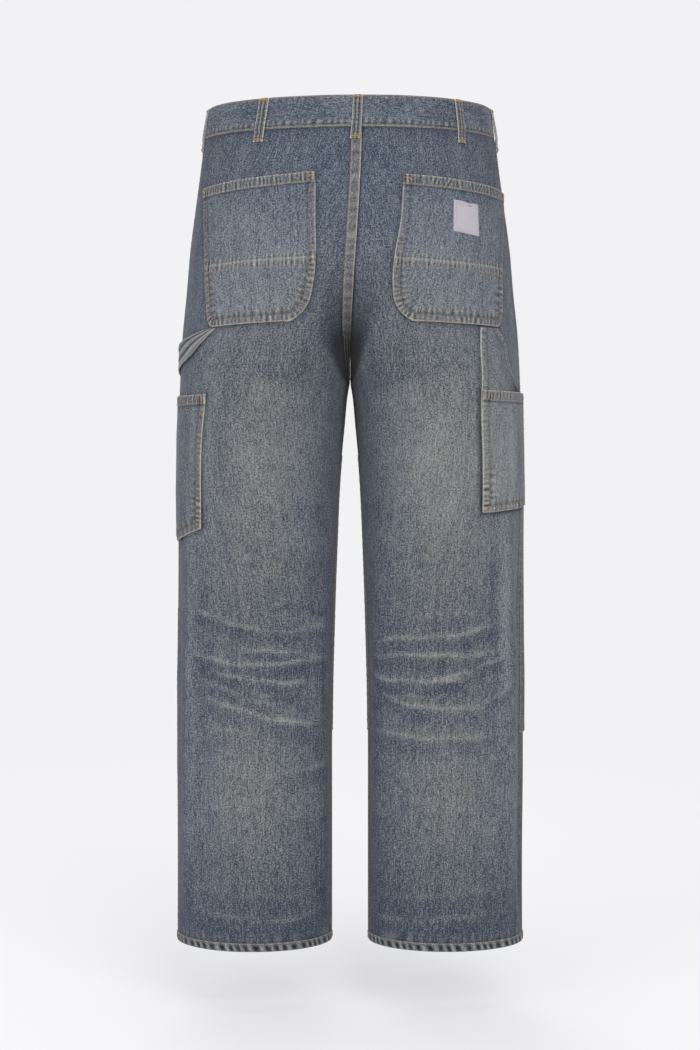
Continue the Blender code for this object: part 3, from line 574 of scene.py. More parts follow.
def legPanel(name, side, isBack):
    turn, height = panelGrid(side, isBack, cut["hem"] + 1.5 * mm)
    angle = turn if isBack else -turn
    lift, worn, painted_shade = panelRelief(angle, height, side, isBack)
    lift = lift - 0.9 * mm * ease((cut["hem"] + cut["hemHeight"] - height) / (2 * mm))
    points = onLeg(angle, height, side, lift)
    middle = seatSeamShift(height) * (points[..., 1] > 0)
    points[..., 0] = middle + side * np.maximum(side * (points[..., 0] - middle), cut["seam"] / 2)
    # painted shade on the panel round each back pocket's sewn edge
    for pocket, spec in pocketSpecs.items():
        if isBack and spec["side"] == side:
            outline = legSurface(*pieceOutline(pocket, spec), side, bridgedFold)
            painted_shade = painted_shade + 0.42 * bell(nearPath(points, outline)[0], 4.2 * mm)
    uv = np.stack([arcLength(angle, height), height], -1)
    marks = {"fade": fadeAt(angle, height, side), "worn": worn, "painted_shade": painted_shade}
    gridObject(name, points, uv, marks, [denim, denimInside], cut["wall"], name,
               legNormal(angle, height, side))


# Pieces that lie on a leg
# Edges from the top down. Columns: down, start angle, start height, end angle, end height.
pocketEdges = {
    "back_pocket_left": ((0, 18, -0.0840, 75, -0.0725), (0.34, 26.5, -0.1400, 80.5, -0.1310),
                         (0.70, 34.5, -0.2020, 89.5, -0.1950), (1, 43.5, -0.2560, 97, -0.2490)),
    "back_pocket_right": ((0, 5, -0.0860, 75, -0.0755), (0.34, 19.5, -0.1420, 80, -0.1330),
                          (0.70, 28.5, -0.2040, 90, -0.1960), (1, 35.5, -0.2550, 97.5, -0.2490)),
    "tool_pocket": ((0, 40, -0.2562, 53, -0.2562), (0.10, 34, -0.2740, 56, -0.2770),
                    (0.23, 32, -0.3010, 59.5, -0.3060),
                    (0.34, 22, -0.3260, 62, -0.3310), (0.44, 11.4, -0.3500, 63, -0.3540),
                    (1, 12.8, -0.4735, 63.5, -0.4800)),
    "tool_pocket_front": ((0, 11, -0.3340, 62.2, -0.3310), (0.40, 11.8, -0.3900, 63.6, -0.3900),
                          (1, 12.8, -0.4735, 63.5, -0.4800)),
    "ruler_pocket": ((0, -5.4, -0.3380, 52, -0.3360), (0.30, -6.4, -0.3920, 49.8, -0.3900),
                     (1, -7.5, -0.5080, 51, -0.5000)),
    "hammer_loop": ((0, 44, -0.2575, 50, -0.2575), (0.35, 30, -0.2660, 41, -0.2770),
                    (0.70, 12, -0.2740, 29, -0.2940),
                    (1, -4.5, -0.2850, -4.5, -0.3130)),
    "pocket_label": ((0, 39.8, -0.1080, 54, -0.1040), (1, 42.8, -0.1470, 57, -0.1420)),
}


def bridgedFold(angle, height, side):  # the highest fold close by, so a pocket spans the troughs
    return np.max([foldDepth(angle + np.radians(turn), height, side) for turn in (-11, 0, 11)], axis=0)


def edgeParam(name, across, down, spec):
    # Between the two edges, with the lower corners rounded by a quarter of an ellipse and the foot drawn to
    # a point.
    table = np.array(pocketEdges[name], float)
    at = [curveThrough(table[:, 0], table[:, k], down) for k in (1, 2, 3, 4)]
    startRound, endRound = spec.get("corners", (0.02, 0.02))
    inset = []
    for size in (startRound, endRound):
        t = unit(1 - (1 - down) / size)
        inset.append(size * spec.get("cornerSpread", 1.0) * (1 - np.sqrt(1 - t ** 2)))
    across = inset[0] + (1 - inset[0] - inset[1]) * across
    angle = np.radians(at[0] + (at[2] - at[0]) * across)
    height = at[1] + (at[3] - at[1]) * across
    point, drop = spec.get("point", (0.5, 0))
    return angle, height - drop * down * np.interp(across, (0, point, 1), (0, 1, 0))


def pieceOutline(name, spec):
    # The sewn edge as one path: down the start side, across the foot and up the end side.
    t = np.linspace(0, 1, 60) ** 0.8
    zero, one = np.zeros_like(t), np.ones_like(t)
    s = np.linspace(0, 1, 40)[1:-1]
    across = np.concatenate([zero, s, one])
    down = np.concatenate([t, np.ones_like(s), t[::-1]])
    return edgeParam(name, across, down, spec)


def lyingRelief(name, side, spec):
    # Returns a function of angle and height that gives the lift, how worn the piece is and the shade painted
    # on it there.
    outline = legSurface(*pieceOutline(name, spec), side, bridgedFold)
    s = np.linspace(0, 1, 30)
    mouth = legSurface(*edgeParam(name, s, np.zeros_like(s), spec), side, bridgedFold)
    mouthHeight = np.mean(pocketEdges[name][0][2::2])
    tall = mouthHeight - np.mean(pocketEdges[name][-1][2::2])
    middle = None
    if "reinforced" in spec:
        middle = legSurface(*edgeParam(name, s, np.full(s.shape, spec["reinforced"]), spec), side,
                            bridgedFold)

    def relief(angle, height):
        points = legSurface(angle, height, side, bridgedFold)
        edge, along = nearPath(points, outline)
        top, topAlong = nearPath(points, mouth)
        ropes = ripple(along, spec.get("ropePeriod", 6.5 * mm), spec["seed"])
        rows = spec.get("rows", (1.8 * mm, 7.6 * mm))
        band = ease((rows[-1] + 1.5 * mm - edge) / (2 * mm)) * ease(edge / (1.2 * mm))
        lift = -1.0 * mm * crest(edge, 0, 0.9) + 0.26 * mm * ropes * band + 0.16 * mm * band
        low = 0.35 + 0.65 * ease((mouthHeight - 0.45 * tall - height) / (0.35 * tall))
        ropes = ropes * low * (0.65 + 0.35 * np.sin(along * 71 + spec["seed"]))
        flare = ripple(along, 8.5 * mm, spec["seed"] + 5) * crest(edge - rows[-1], 4.5, 5) * low ** 2
        worn = 1.0 * crest(edge, 0.4, 1.1) + 0.85 * band * unit(ropes) + 0.45 * unit(flare)
        # painted shade between the puckers, just inside the innermost row, in the flare's troughs and in each
        # row's groove; further down also between the hem's puckers, under the hem's edge and in the
        # reinforced band
        painted_shade = 0.95 * band * unit(-ropes) + 0.34 * crest(edge - rows[-1], 2.2, 1.8)
        painted_shade = painted_shade + 0.55 * unit(-flare)
        for row in rows:
            lift = lift - dent(edge - row)
            painted_shade = painted_shade + 0.10 * crest(edge - row, 0, 0.9)
        hem = spec.get("hem", 0)
        if hem:
            hemRopes = ripple(topAlong, spec.get("hemRope", 5.2 * mm), spec["seed"] + 3)
            inHem = ease((hem - top) / (0.8 * mm))
            lift = lift + inHem * (0.55 * mm + 0.20 * mm * hemRopes) - 0.7 * mm * crest(top, 0, 0.8)
            lift = lift - inHem * (dent(top - 1.9 * mm) + dent(top - hem + 2.0 * mm))
            worn = worn + inHem * 0.70 * unit(hemRopes) + 0.75 * crest(top, 0.3, 1.0)
            worn = worn + 0.60 * crest(top - hem, -0.4, 0.9)
            painted_shade = painted_shade + inHem * 0.95 * unit(-hemRopes) + 0.60 * crest(top - hem, 1.5, 1.5)
        if middle is not None:
            gap, gapAlong = nearPath(points, middle)
            below = spec["below"](angle, height)
            midRopes = ripple(gapAlong, 5.5 * mm, spec["seed"] + 7)
            signed = np.where(below, gap, -gap)
            inBand = crest(signed, 4, 4.5)
            lift = lift + 0.45 * mm * ease((signed + 1.2 * mm) / (1.0 * mm)) + 0.20 * mm * midRopes * inBand
            lift = lift - dent(signed - 1.6 * mm) - dent(signed - 7.4 * mm)
            above = crest(signed, -4.5, 3)
            worn = worn + 0.80 * crest(signed, -0.3, 1.0) + (0.75 * inBand + 0.7 * above) * unit(midRopes)
            painted_shade = painted_shade + 0.35 * crest(signed, -2.0, 1.1) + (0.90 * inBand + 0.6 * above) * unit(-midRopes)
        soft = 0.5 + 0.5 * np.sin(angle * 9 + spec["seed"]) * np.sin(height * 90 + spec["seed"] * 2)
        puff = spec.get("puff", 0.9 * mm) * ease((edge - 4 * mm) / (28 * mm))
        return spec["lift"] + cut["patchWall"] + lift + puff * soft, worn, painted_shade

    return relief


def edgeSpacing(size, count):  # from 0 to 1, with close steps of 0.7 mm over the first and last 10 mm
    near = np.arange(0, 10 * mm, 0.7 * mm) / size
    return np.concatenate([near, np.linspace(near[-1], 1 - near[-1], count - 2 * len(near) + 2)[1:-1],
                           1 - near[::-1]])


def lyingPiece(name, side, spec):
    top, foot = np.array(pocketEdges[name][0]), np.array(pocketEdges[name][-1])
    tall = (top[2::2] - foot[2::2]).mean()
    wide = math.radians(abs(foot[3] - foot[1])) * 0.105
    across, down = np.broadcast_arrays(edgeSpacing(wide, spec["grid"][0])[None, :],
                                       edgeSpacing(tall, spec["grid"][1])[:, None])
    angle, height = edgeParam(name, across, down, spec)
    relief = lyingRelief(name, side, spec)
    lift, worn, painted_shade = relief(angle, height)
    points = onLeg(angle, height, side, lift, bridgedFold)
    uv = np.stack([arcLength(angle, height), height], -1)
    fade = fadeAt(angle, height, side) + spec.get("fade", 0)
    for s, t, spreadS, spreadT, amount in spec.get("spots", ()):
        fade = fade + amount * bell(across - s, spreadS) * bell(down - t, spreadT)
    # painted shade spots, such as inside the tool pocket's gaping mouth
    for s, t, spreadS, spreadT, amount in spec.get("shades", ()):
        painted_shade = painted_shade + amount * bell(across - s, spreadS) * bell(down - t, spreadT)
    marks = {"fade": fade, "worn": worn, "painted_shade": painted_shade}
    gridObject(name, points, uv, marks, [pocketDenim, pocketDenim], cut["patchWall"], name,
               legNormal(angle, height, side, bridgedFold))
    return relief


# Sewing: every stitch is a short rounded bar lying in the cloth, joined into one mesh for each group of rows
sewing = {"legs_left": [], "legs_right": [], "pockets": [], "waist": [], "bartacks": [], "label": []}
legRows = {left: "legs_left", right: "legs_right"}
stitchSpec = {
    "length": 2.7 * mm, "pitch": 3.3 * mm, "radius": 0.40 * mm, "sides": 5, "stand": 0.2 * mm,
    "tackStand": 0.35 * mm, "tackPitch": 0.62 * mm,
}


def sew(group, angle, height, side, lift, fold=foldDepth, pitch=None, length=None, radius=None):
    # Keeps the places, directions and normals of the stitches of one row.
    path = onLeg(angle, height, side, lift, fold)
    out = legNormal(angle, height, side, fold)
    at = evenSteps(np.concatenate([path, out], axis=1), pitch or stitchSpec["pitch"])
    place, normal = at[:, :3], at[:, 3:]
    ahead = np.gradient(place, axis=0)
    sewing[group].append((place, ahead, normal, length or stitchSpec["length"],
                          radius or stitchSpec["radius"]))


def sewOn(group, angle, height, side, relief, more=(), fold=foldDepth):  # a row on a piece's own relief
    sew(group, angle, height, side, relief(angle, height, *more)[0] + stitchSpec["stand"], fold)


def insetPath(angle, height, inset):  # the same path, moved to its left over the cloth
    speed = speedAt(angle, height)
    across, up = np.gradient(angle) * speed, np.gradient(height)
    size = np.hypot(across, up) + 1e-9
    return angle - inset * up / size / speed, height + inset * across / size


def bartack(angle, height, side, lift, turn=0.0, size=(9 * mm, 2.2 * mm), fold=foldDepth):
    # Close bars of thread side by side, along a line that is turned from the horizontal.
    count = int(size[0] / stitchSpec["tackPitch"])
    along = (np.arange(count) - (count - 1) / 2) * stitchSpec["tackPitch"]
    speed = speedAt(np.array([angle]), np.array([height]))[0]
    angles = angle + along * math.cos(turn) / speed
    heights = height + along * math.sin(turn)
    place = onLeg(angles, heights, side, lift, fold)
    normal = legNormal(angles, heights, side, fold)
    line = np.gradient(place, axis=0)
    ahead = np.cross(normal, line)
    sewing["bartacks"].append((place, ahead, normal, size[1], stitchSpec["radius"]))


def threadObject(name, rows, finish):
    # Rings of a bar at its two ends and its middle, placed by each stitch's three directions.
    sides = stitchSpec["sides"]
    turn = np.arange(sides) * 2 * math.pi / sides
    ringAt = np.repeat([-0.5, 0.0, 0.5], sides)
    ringSize = np.repeat([0.55, 1.0, 0.55], sides)
    sideways = np.tile(np.cos(turn), 3) * ringSize
    upwards = np.tile(np.sin(turn), 3) * ringSize + np.repeat([-0.9, 0.35, -0.9], sides)
    quads = [(a * sides + k, a * sides + (k + 1) % sides, (a + 1) * sides + (k + 1) % sides,
              (a + 1) * sides + k)
             for a in (0, 1) for k in range(sides)]
    ends = [tuple(range(sides))[::-1], tuple(range(2 * sides, 3 * sides))]
    place, ahead, normal = (np.concatenate([row[k] for row in rows]) for k in range(3))
    length, radius = (np.concatenate([np.full(len(row[0]), row[k]) for row in rows])[:, None, None]
                      for k in (3, 4))
    ahead = ahead / np.linalg.norm(ahead, axis=1, keepdims=True)
    normal = normal - (normal * ahead).sum(1, keepdims=True) * ahead
    normal = normal / np.linalg.norm(normal, axis=1, keepdims=True)
    across = np.cross(ahead, normal)
    verts = place[:, None] + ahead[:, None] * ringAt[:, None] * length
    verts = verts + across[:, None] * sideways[:, None] * radius + normal[:, None] * upwards[:, None] * radius
    count = len(place)
    shift = (np.arange(count) * 3 * sides)[:, None]
    faces = np.concatenate([(np.array(quads).ravel()[None] + shift).reshape(-1, 4)])
    caps = np.concatenate([(np.array(ends).ravel()[None] + shift).reshape(-1, sides)])
    mesh = bpy.data.meshes.new(name)
    mesh.from_pydata(verts.reshape(-1, 3).tolist(), [], faces.tolist() + caps.tolist())
    mesh.shade_smooth()
    tint = np.random.default_rng(11).uniform(0, 1, count)
    attribute = mesh.attributes.new("tint", "FLOAT", "POINT")
    attribute.data.foreach_set("value", np.repeat(tint, 3 * sides).astype(np.float32))
    work = bmesh.new()
    work.from_mesh(mesh)
    if work.calc_volume(signed=True) < 0:
        bmesh.ops.reverse_faces(work, faces=work.faces)
    work.to_mesh(mesh)
    work.free()
    mesh.materials.append(finish)
    piece = bpy.data.objects.new(name, mesh)
    clothCollection.objects.link(piece)
    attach(piece, "root")
    return piece


# Materials
def addNode(tree, kind, **settings):
    node = tree.nodes.new(kind)
    for key, value in settings.items():
        setattr(node, key, value)
    return node


def feed(tree, node, **values):
    # Sockets by name, with _ for a space: a link if the value is a socket, otherwise its value.
    for key, value in values.items():
        socket = node.inputs[key.replace("_", " ")]
        if isinstance(value, bpy.types.NodeSocket):
            tree.links.new(value, socket)
        else:
            socket.default_value = value
    return node


def calc(tree, operation, *values, clamp=False):
    node = addNode(tree, "ShaderNodeMath", operation=operation, use_clamp=clamp)
    for socket, value in zip(node.inputs, values):
        if isinstance(value, bpy.types.NodeSocket):
            tree.links.new(value, socket)
        else:
            socket.default_value = value
    return node.outputs[0]


def markNode(tree, name):
    return addNode(tree, "ShaderNodeAttribute", attribute_name=name).outputs["Fac"]


def blendColour(tree, factor, a, b, kind="MIX"):
    node = addNode(tree, "ShaderNodeMix", data_type="RGBA", blend_type=kind, clamp_factor=True)
    for socket, value in zip((node.inputs[0], node.inputs[6], node.inputs[7]), (factor, a, b)):
        if isinstance(value, bpy.types.NodeSocket):
            tree.links.new(value, socket)
        else:
            socket.default_value = value
    return node.outputs[2]


def noiseAt(tree, vector, scaleX, scaleY, detail=2.0, rough=0.55):  # flat noise, stretched along one way
    stretched = addNode(tree, "ShaderNodeVectorMath", operation="MULTIPLY")
    tree.links.new(vector, stretched.inputs[0])
    stretched.inputs[1].default_value = (scaleX, scaleY, 1)
    noise = addNode(tree, "ShaderNodeTexNoise", noise_dimensions="2D")
    tree.links.new(stretched.outputs[0], noise.inputs["Vector"])
    noise.inputs["Scale"].default_value = 1
    noise.inputs["Detail"].default_value = detail
    noise.inputs["Roughness"].default_value = rough
    return noise.outputs["Fac"]


# Noise in the cloth. Columns: scale across, scale along, detail, roughness, share of the pattern.
weave = {
    "warp": (640, 100, 2.0, 0.55, 1.30), "weft": (220, 640, 2.0, 0.55, 0.80),
    "slub": (600, 520, 3.0, 0.70, 3.10),
    "blotch": (60, 28, 3.0, 0.55, 0.42), "streak": (230, 11, 2.0, 0.55, 0.42),
}
twillTurns = (5200, 6900)  # radians to a metre across and along the cloth


def denimGroup():
    # Streaks along the warp and the weft, slubs and blotches move the cloth between its deep and pale
    # colours;
    # the abraded colour shows through where it is worn, and painted shade darkens the hollows.
    tree = bpy.data.node_groups.new("denim cloth", "ShaderNodeTree")
    sockets = tree.interface
    sockets.new_socket("Cloth", in_out="INPUT", socket_type="NodeSocketVector")
    for name in ("Fade", "Worn", "Dusk", "Warm", "Grain"):
        sockets.new_socket(name, in_out="INPUT", socket_type="NodeSocketFloat")
    for name in ("Deep", "Pale", "Warm Pale", "Abraded"):
        sockets.new_socket(name, in_out="INPUT", socket_type="NodeSocketColor")
    sockets.new_socket("Colour", in_out="OUTPUT", socket_type="NodeSocketColor")
    sockets.new_socket("Roughness", in_out="OUTPUT", socket_type="NodeSocketFloat")
    sockets.new_socket("Height", in_out="OUTPUT", socket_type="NodeSocketFloat")
    given = addNode(tree, "NodeGroupInput").outputs
    put = addNode(tree, "NodeGroupOutput")
    noises = {name: noiseAt(tree, given["Cloth"], *row[:4]) for name, row in weave.items()}
    split = addNode(tree, "ShaderNodeSeparateXYZ")
    tree.links.new(given["Cloth"], split.inputs[0])
    along = calc(tree, "MULTIPLY", split.outputs[1], twillTurns[1])
    twill = calc(tree, "SINE", calc(tree, "MULTIPLY_ADD", split.outputs[0], twillTurns[0], along))
    pattern = calc(tree, "MULTIPLY", twill, 0.05)
    for name, row in weave.items():
        pattern = calc(tree, "MULTIPLY_ADD", calc(tree, "SUBTRACT", noises[name], 0.5), row[4], pattern)
    level = calc(tree, "MULTIPLY_ADD", pattern, given["Grain"], given["Fade"], clamp=True)
    pale = blendColour(tree, given["Warm"], given["Pale"], given["Warm Pale"])
    cloth = blendColour(tree, level, given["Deep"], pale)
    rub = calc(tree, "MULTIPLY_ADD", calc(tree, "SUBTRACT", noises["slub"], 0.5), 1.6, 0.72)
    rubbed = calc(tree, "MULTIPLY", given["Worn"], rub, clamp=True)
    cloth = blendColour(tree, rubbed, cloth, given["Abraded"])
    # painted shade: the shade mark, broken up by the warp noise, blends the cloth towards a near-black blue
    shade = calc(tree, "MULTIPLY", given["Dusk"], calc(tree, "MULTIPLY_ADD", noises["warp"], 0.6, 0.7),
                 clamp=True)
    cloth = blendColour(tree, shade, cloth, (0.010, 0.015, 0.026, 1))
    tree.links.new(cloth, put.inputs["Colour"])
    tree.links.new(calc(tree, "MULTIPLY_ADD", pattern, 0.08, 0.90, clamp=True), put.inputs["Roughness"])
    high = calc(tree, "ADD", calc(tree, "MULTIPLY", twill, 0.22), pattern)
    tree.links.new(high, put.inputs["Height"])
    return tree


clothGroup = denimGroup()


def newFinish(name):  # a material with its node tree and its shader
    finish = bpy.data.materials.new(name)
    finish.use_nodes = True
    return finish, finish.node_tree, finish.node_tree.nodes["Principled BSDF"]


def addBump(tree, shader, height, strength, distance):
    relief = addNode(tree, "ShaderNodeBump")
    feed(tree, relief, Strength=strength, Distance=distance, Height=height)
    feed(tree, shader, Normal=relief.outputs["Normal"])


def denimMaterial(name, deep=(0.030, 0.042, 0.070), pale=(0.295, 0.324, 0.350),
                  warmPale=(0.332, 0.337, 0.306),
                  abraded=(0.52, 0.49, 0.41), grain=0.64):
    finish, tree, shader = newFinish(name)
    uv = addNode(tree, "ShaderNodeUVMap", uv_map="cloth")
    cloth = addNode(tree, "ShaderNodeGroup", node_tree=clothGroup)
    feed(tree, cloth, Cloth=uv.outputs["UV"], Fade=calc(tree, "MULTIPLY", markNode(tree, "fade"), 0.66),
         Grain=grain,
         Worn=markNode(tree, "worn"), Dusk=markNode(tree, "painted_shade"), Warm=markNode(tree, "warm"))
    feed(tree, cloth, Deep=(*deep, 1), Pale=(*pale, 1), Warm_Pale=(*warmPale, 1), Abraded=(*abraded, 1))
    addBump(tree, shader, cloth.outputs["Height"], 0.35, 0.4 * mm)
    feed(tree, shader, Base_Color=cloth.outputs["Colour"], Roughness=cloth.outputs["Roughness"])
    shader.inputs["Specular IOR Level"].default_value = 0.12
    shader.inputs["Sheen Weight"].default_value = 0.12
    shader.inputs["Sheen Roughness"].default_value = 0.5
    return finish


def threadMaterial(name, colour, dark):
    finish, tree, shader = newFinish(name)
    tint = markNode(tree, "tint")
    place = addNode(tree, "ShaderNodeTexCoord").outputs["Object"]
    twist = addNode(tree, "ShaderNodeTexNoise")
    feed(tree, twist, Vector=place, Scale=1400.0, Detail=2.0)
    mixed = calc(tree, "MULTIPLY_ADD", calc(tree, "SUBTRACT", twist.outputs["Fac"], 0.5), 1.2, tint,
                 clamp=True)
    feed(tree, shader, Base_Color=blendColour(tree, mixed, (*dark, 1), (*colour, 1)), Roughness=0.7)
    addBump(tree, shader, twist.outputs["Fac"], 0.4, 0.2 * mm)
    shader.inputs["Specular IOR Level"].default_value = 0.2
    return finish


denim = denimMaterial("denim")
denimInside = denimMaterial("denim inside", (0.18, 0.22, 0.28), (0.38, 0.41, 0.45), (0.40, 0.41, 0.42),
                            (0.46, 0.45, 0.42), 0.6)
pocketDenim = denimMaterial("pocket denim")
bandDenim = denimMaterial("waistband denim")
loopDenim = denimMaterial("belt loop denim")
tanThread = threadMaterial("tan thread", (0.37, 0.245, 0.135), (0.20, 0.13, 0.08))
orangeThread = threadMaterial("orange thread", (0.55, 0.27, 0.07), (0.34, 0.16, 0.05))
labelThread = threadMaterial("label thread", (0.42, 0.38, 0.43), (0.30, 0.27, 0.31))


def labelMaterial():
    finish, tree, shader = newFinish("label cloth")
    uv = addNode(tree, "ShaderNodeUVMap", uv_map="cloth").outputs["UV"]
    fine = noiseAt(tree, uv, 900, 900)
    rows = noiseAt(tree, uv, 60, 1500)
    both = calc(tree, "MULTIPLY", calc(tree, "ADD", fine, rows), 0.5)
    # painted shade along the label's turned edges, blending it towards a dark grey
    painted_shade = calc(tree, "MULTIPLY", markNode(tree, "painted_shade"), 0.8, clamp=True)
    colour = blendColour(tree, both, (0.37, 0.34, 0.39, 1), (0.51, 0.47, 0.51, 1))
    feed(tree, shader, Base_Color=blendColour(tree, painted_shade, colour, (0.20, 0.19, 0.22, 1)), Roughness=0.8)
    addBump(tree, shader, both, 0.3, 0.3 * mm)
    return finish


def buttonMaterial():
    finish, tree, shader = newFinish("button metal")
    place = addNode(tree, "ShaderNodeTexCoord").outputs["Object"]
    scratch = addNode(tree, "ShaderNodeTexNoise")
    feed(tree, scratch, Vector=place, Scale=420.0, Detail=4.0)
    feed(tree, shader, Base_Color=blendColour(tree, scratch.outputs["Fac"], (0.34, 0.20, 0.10, 1),
                                              (0.72, 0.50, 0.28, 1)),
         Metallic=1.0, Roughness=calc(tree, "MULTIPLY_ADD", scratch.outputs["Fac"], 0.3, 0.22))
    return finish


# Waistband, from its upper end at the front, round the wearer's left side and back
bandSpec = {
    "start": -94.0, "turn": 373.0, "step": 3.4 * mm, "proud": 1.0 * mm, "wall": 2.6 * mm,
    "columns": 480, "rows": 22, "edgeRow": 1.9 * mm, "footDrop": 0.7 * cut["seam"],
}


def bandLift(angle, height):
    # Proud of the leg, stepping down where its end lies over its start, with grooves and puckers at both
    # edges.
    turn = np.degrees(angle)
    arc = turn * 2.35 * mm
    step = bandSpec["step"] * ease((turn - (bandSpec["start"] + 360 - 16)) / 11)
    top, foot = cut["waistTop"] - height, height - cut["waistFoot"]
    edge = np.minimum(top, foot)
    ropesTop, ropesFoot = ripple(arc, 6.0 * mm, 2), ripple(arc, 7.0 * mm, 5)
    atTop, atFoot = crest(top, 3.6, 2.6), crest(foot, 6.0, 3.0)
    lift = bandSpec["proud"] - step - 0.9 * mm * crest(edge, 0, 0.9)
    lift = lift - 0.26 * mm * crest(edge - bandSpec["edgeRow"], 0, 0.7)
    lift = lift + 0.12 * mm * ropesTop * atTop + 0.16 * mm * ropesFoot * atFoot
    lift = lift + 0.35 * mm * np.sin(turn * 0.19) * np.sin(height * 60 + turn * 0.07)
    worn = 0.35 * crest(top, 0.5, 0.9) + 0.85 * crest(foot, 0.5, 1.0)
    worn = worn + 0.62 * atFoot * unit(ropesFoot) + 0.25 * atTop * unit(ropesTop)
    # painted shade between the puckers at both edges and along a line just above the foot's row of sewing
    painted_shade = 0.35 * atTop * unit(-ropesTop) + 0.55 * atFoot * unit(-ropesFoot)
    painted_shade = painted_shade + 0.45 * crest(foot, 3.0, 0.9)
    return lift, worn, painted_shade


def waistband():
    across, down = evenGrid(bandSpec["columns"], bandSpec["rows"])
    angle = np.radians(bandSpec["start"] + bandSpec["turn"] * across)
    foot = cut["waistFoot"] - bandSpec["footDrop"]
    height = cut["waistTop"] + (foot - cut["waistTop"]) * down
    lift, worn, painted_shade = bandLift(angle, height)
    points = onLeg(angle, height, left, lift)
    fade = 0.36 + 0.06 * np.sin(angle * 5) + 0.05 * np.sin(angle * 13 + 1)
    uv = np.stack([height, arcLength(angle, height)], -1)
    outward = legNormal(angle, height, left)
    gridObject("waistband", points, uv, {"fade": fade, "worn": worn, "painted_shade": painted_shade}, [bandDenim, bandDenim],
                      bandSpec["wall"], "waistband", outward)
    for row in (cut["waistTop"] - bandSpec["edgeRow"], cut["waistFoot"] + bandSpec["edgeRow"]):
        path = np.radians(np.linspace(bandSpec["start"] + 0.6, bandSpec["start"] + 358, 500))
        level = np.full(path.shape, row)
        sewOn("waist", path, level, left, bandLift)
    level = np.linspace(cut["waistTop"] - 2 * mm, cut["waistFoot"] + 2 * mm, 30)
    path = np.full(level.shape, math.radians(bandSpec["start"] + 0.7))
    sewOn("waist", path, level, left, bandLift)


# Belt loops. Columns: name, side, angle at the top, angle at the foot, rise above the felled seam.
loops = (
    ("belt_loop_back", left, 88.4, 88.0, 0.7 * mm), ("belt_loop_back_left", left, 51.0, 50.2, 0),
    ("belt_loop_back_right", right, 44.0, 44.6, 0), ("belt_loop_side_left", left, 3.0, 3.0, 0),
    ("belt_loop_side_right", right, 4.0, 4.0, 0), ("belt_loop_front_left", left, -52.0, -52.0, 0),
    ("belt_loop_front_right", right, -52.0, -52.0, 0),
)
loopSpec = {"width": 12 * mm, "top": 0.0187, "foot": -0.0342, "wall": 1.6 * mm, "bow": 0.6 * mm,
            "grid": (20, 48), "row": 3.1 * mm}


def beltLoop(name, side, angleTop, angleFoot, rise):
    spec = loopSpec

    def place(across, down):  # across in metres from the loop's middle line
        height = spec["top"] + (spec["foot"] - spec["top"]) * down
        middle = np.radians(angleTop + (angleFoot - angleTop) * down)
        return middle + across / speedAt(middle, height), height

    def lift(across, down):
        edge = spec["width"] / 2 - np.abs(across)
        base = cut["lay"] + rise + bandSpec["proud"] * ease((0.8 - down) * 8)
        base = base + spec["bow"] * np.sin(math.pi * down) ** 0.7
        ends = np.minimum(down, 1 - down) * (spec["top"] - spec["foot"])
        body = spec["wall"] - 0.9 * mm * crest(edge, 0, 0.9) - 0.7 * mm * crest(ends, 0, 0.8)
        body = body - dent(np.abs(across) - spec["row"]) + 0.18 * mm * crest(across, 0, 1.5)
        return base + body + 0.12 * mm * ripple(down * 52 * mm, 5 * mm, angleTop)

    across, down = evenGrid(*spec["grid"])
    across = (across - 0.5) * spec["width"]
    angle, height = place(across, down)
    points = onLeg(angle, height, side, lift(across, down))
    edge = spec["width"] / 2 - np.abs(across)
    ropes = ripple(down * 52 * mm, 5 * mm, angleTop)
    worn = 0.9 * crest(edge, 0.4, 1.0) + 0.30 * crest(across, 0, 1.2) + 0.12 * unit(ropes)
    worn = worn + 0.8 * bell(np.minimum(down, 1 - down), 0.028)
    # painted shade just inside each row of sewing and between the puckers
    painted_shade = 0.70 * bell(np.abs(across) - spec["row"] + 0.9 * mm, 0.9 * mm) + 0.15 * unit(-ropes)
    marks = {"fade": 0.40 + 0.1 * ropes, "worn": worn, "painted_shade": painted_shade}
    uv = np.stack([across, height], -1)
    gridObject(name, points, uv, marks, [loopDenim, loopDenim], spec["wall"], name,
               legNormal(angle, height, side))
    at = np.linspace(0.03, 0.97, 60)
    for line in (-spec["row"], spec["row"]):
        row = np.full(at.shape, line)
        sew("waist", *place(row, at), side, lift(row, at) + stitchSpec["stand"])
    for end in (0.055, 0.945):
        angleEnd, heightEnd = place(np.array([0.0]), np.array([end]))
        raised = lift(np.array([0.0]), np.array([end]))[0] + stitchSpec["tackStand"]
        bartack(angleEnd[0], heightEnd[0], side, raised, 0, (10 * mm, 2.2 * mm))


# Knee panels, fly and pocket facings
kneeSpec = {"top": -0.410, "foot": -0.759, "lift": 0.6 * mm, "rows": (2.0 * mm, 8.5 * mm), "pitch": 3.2 * mm}


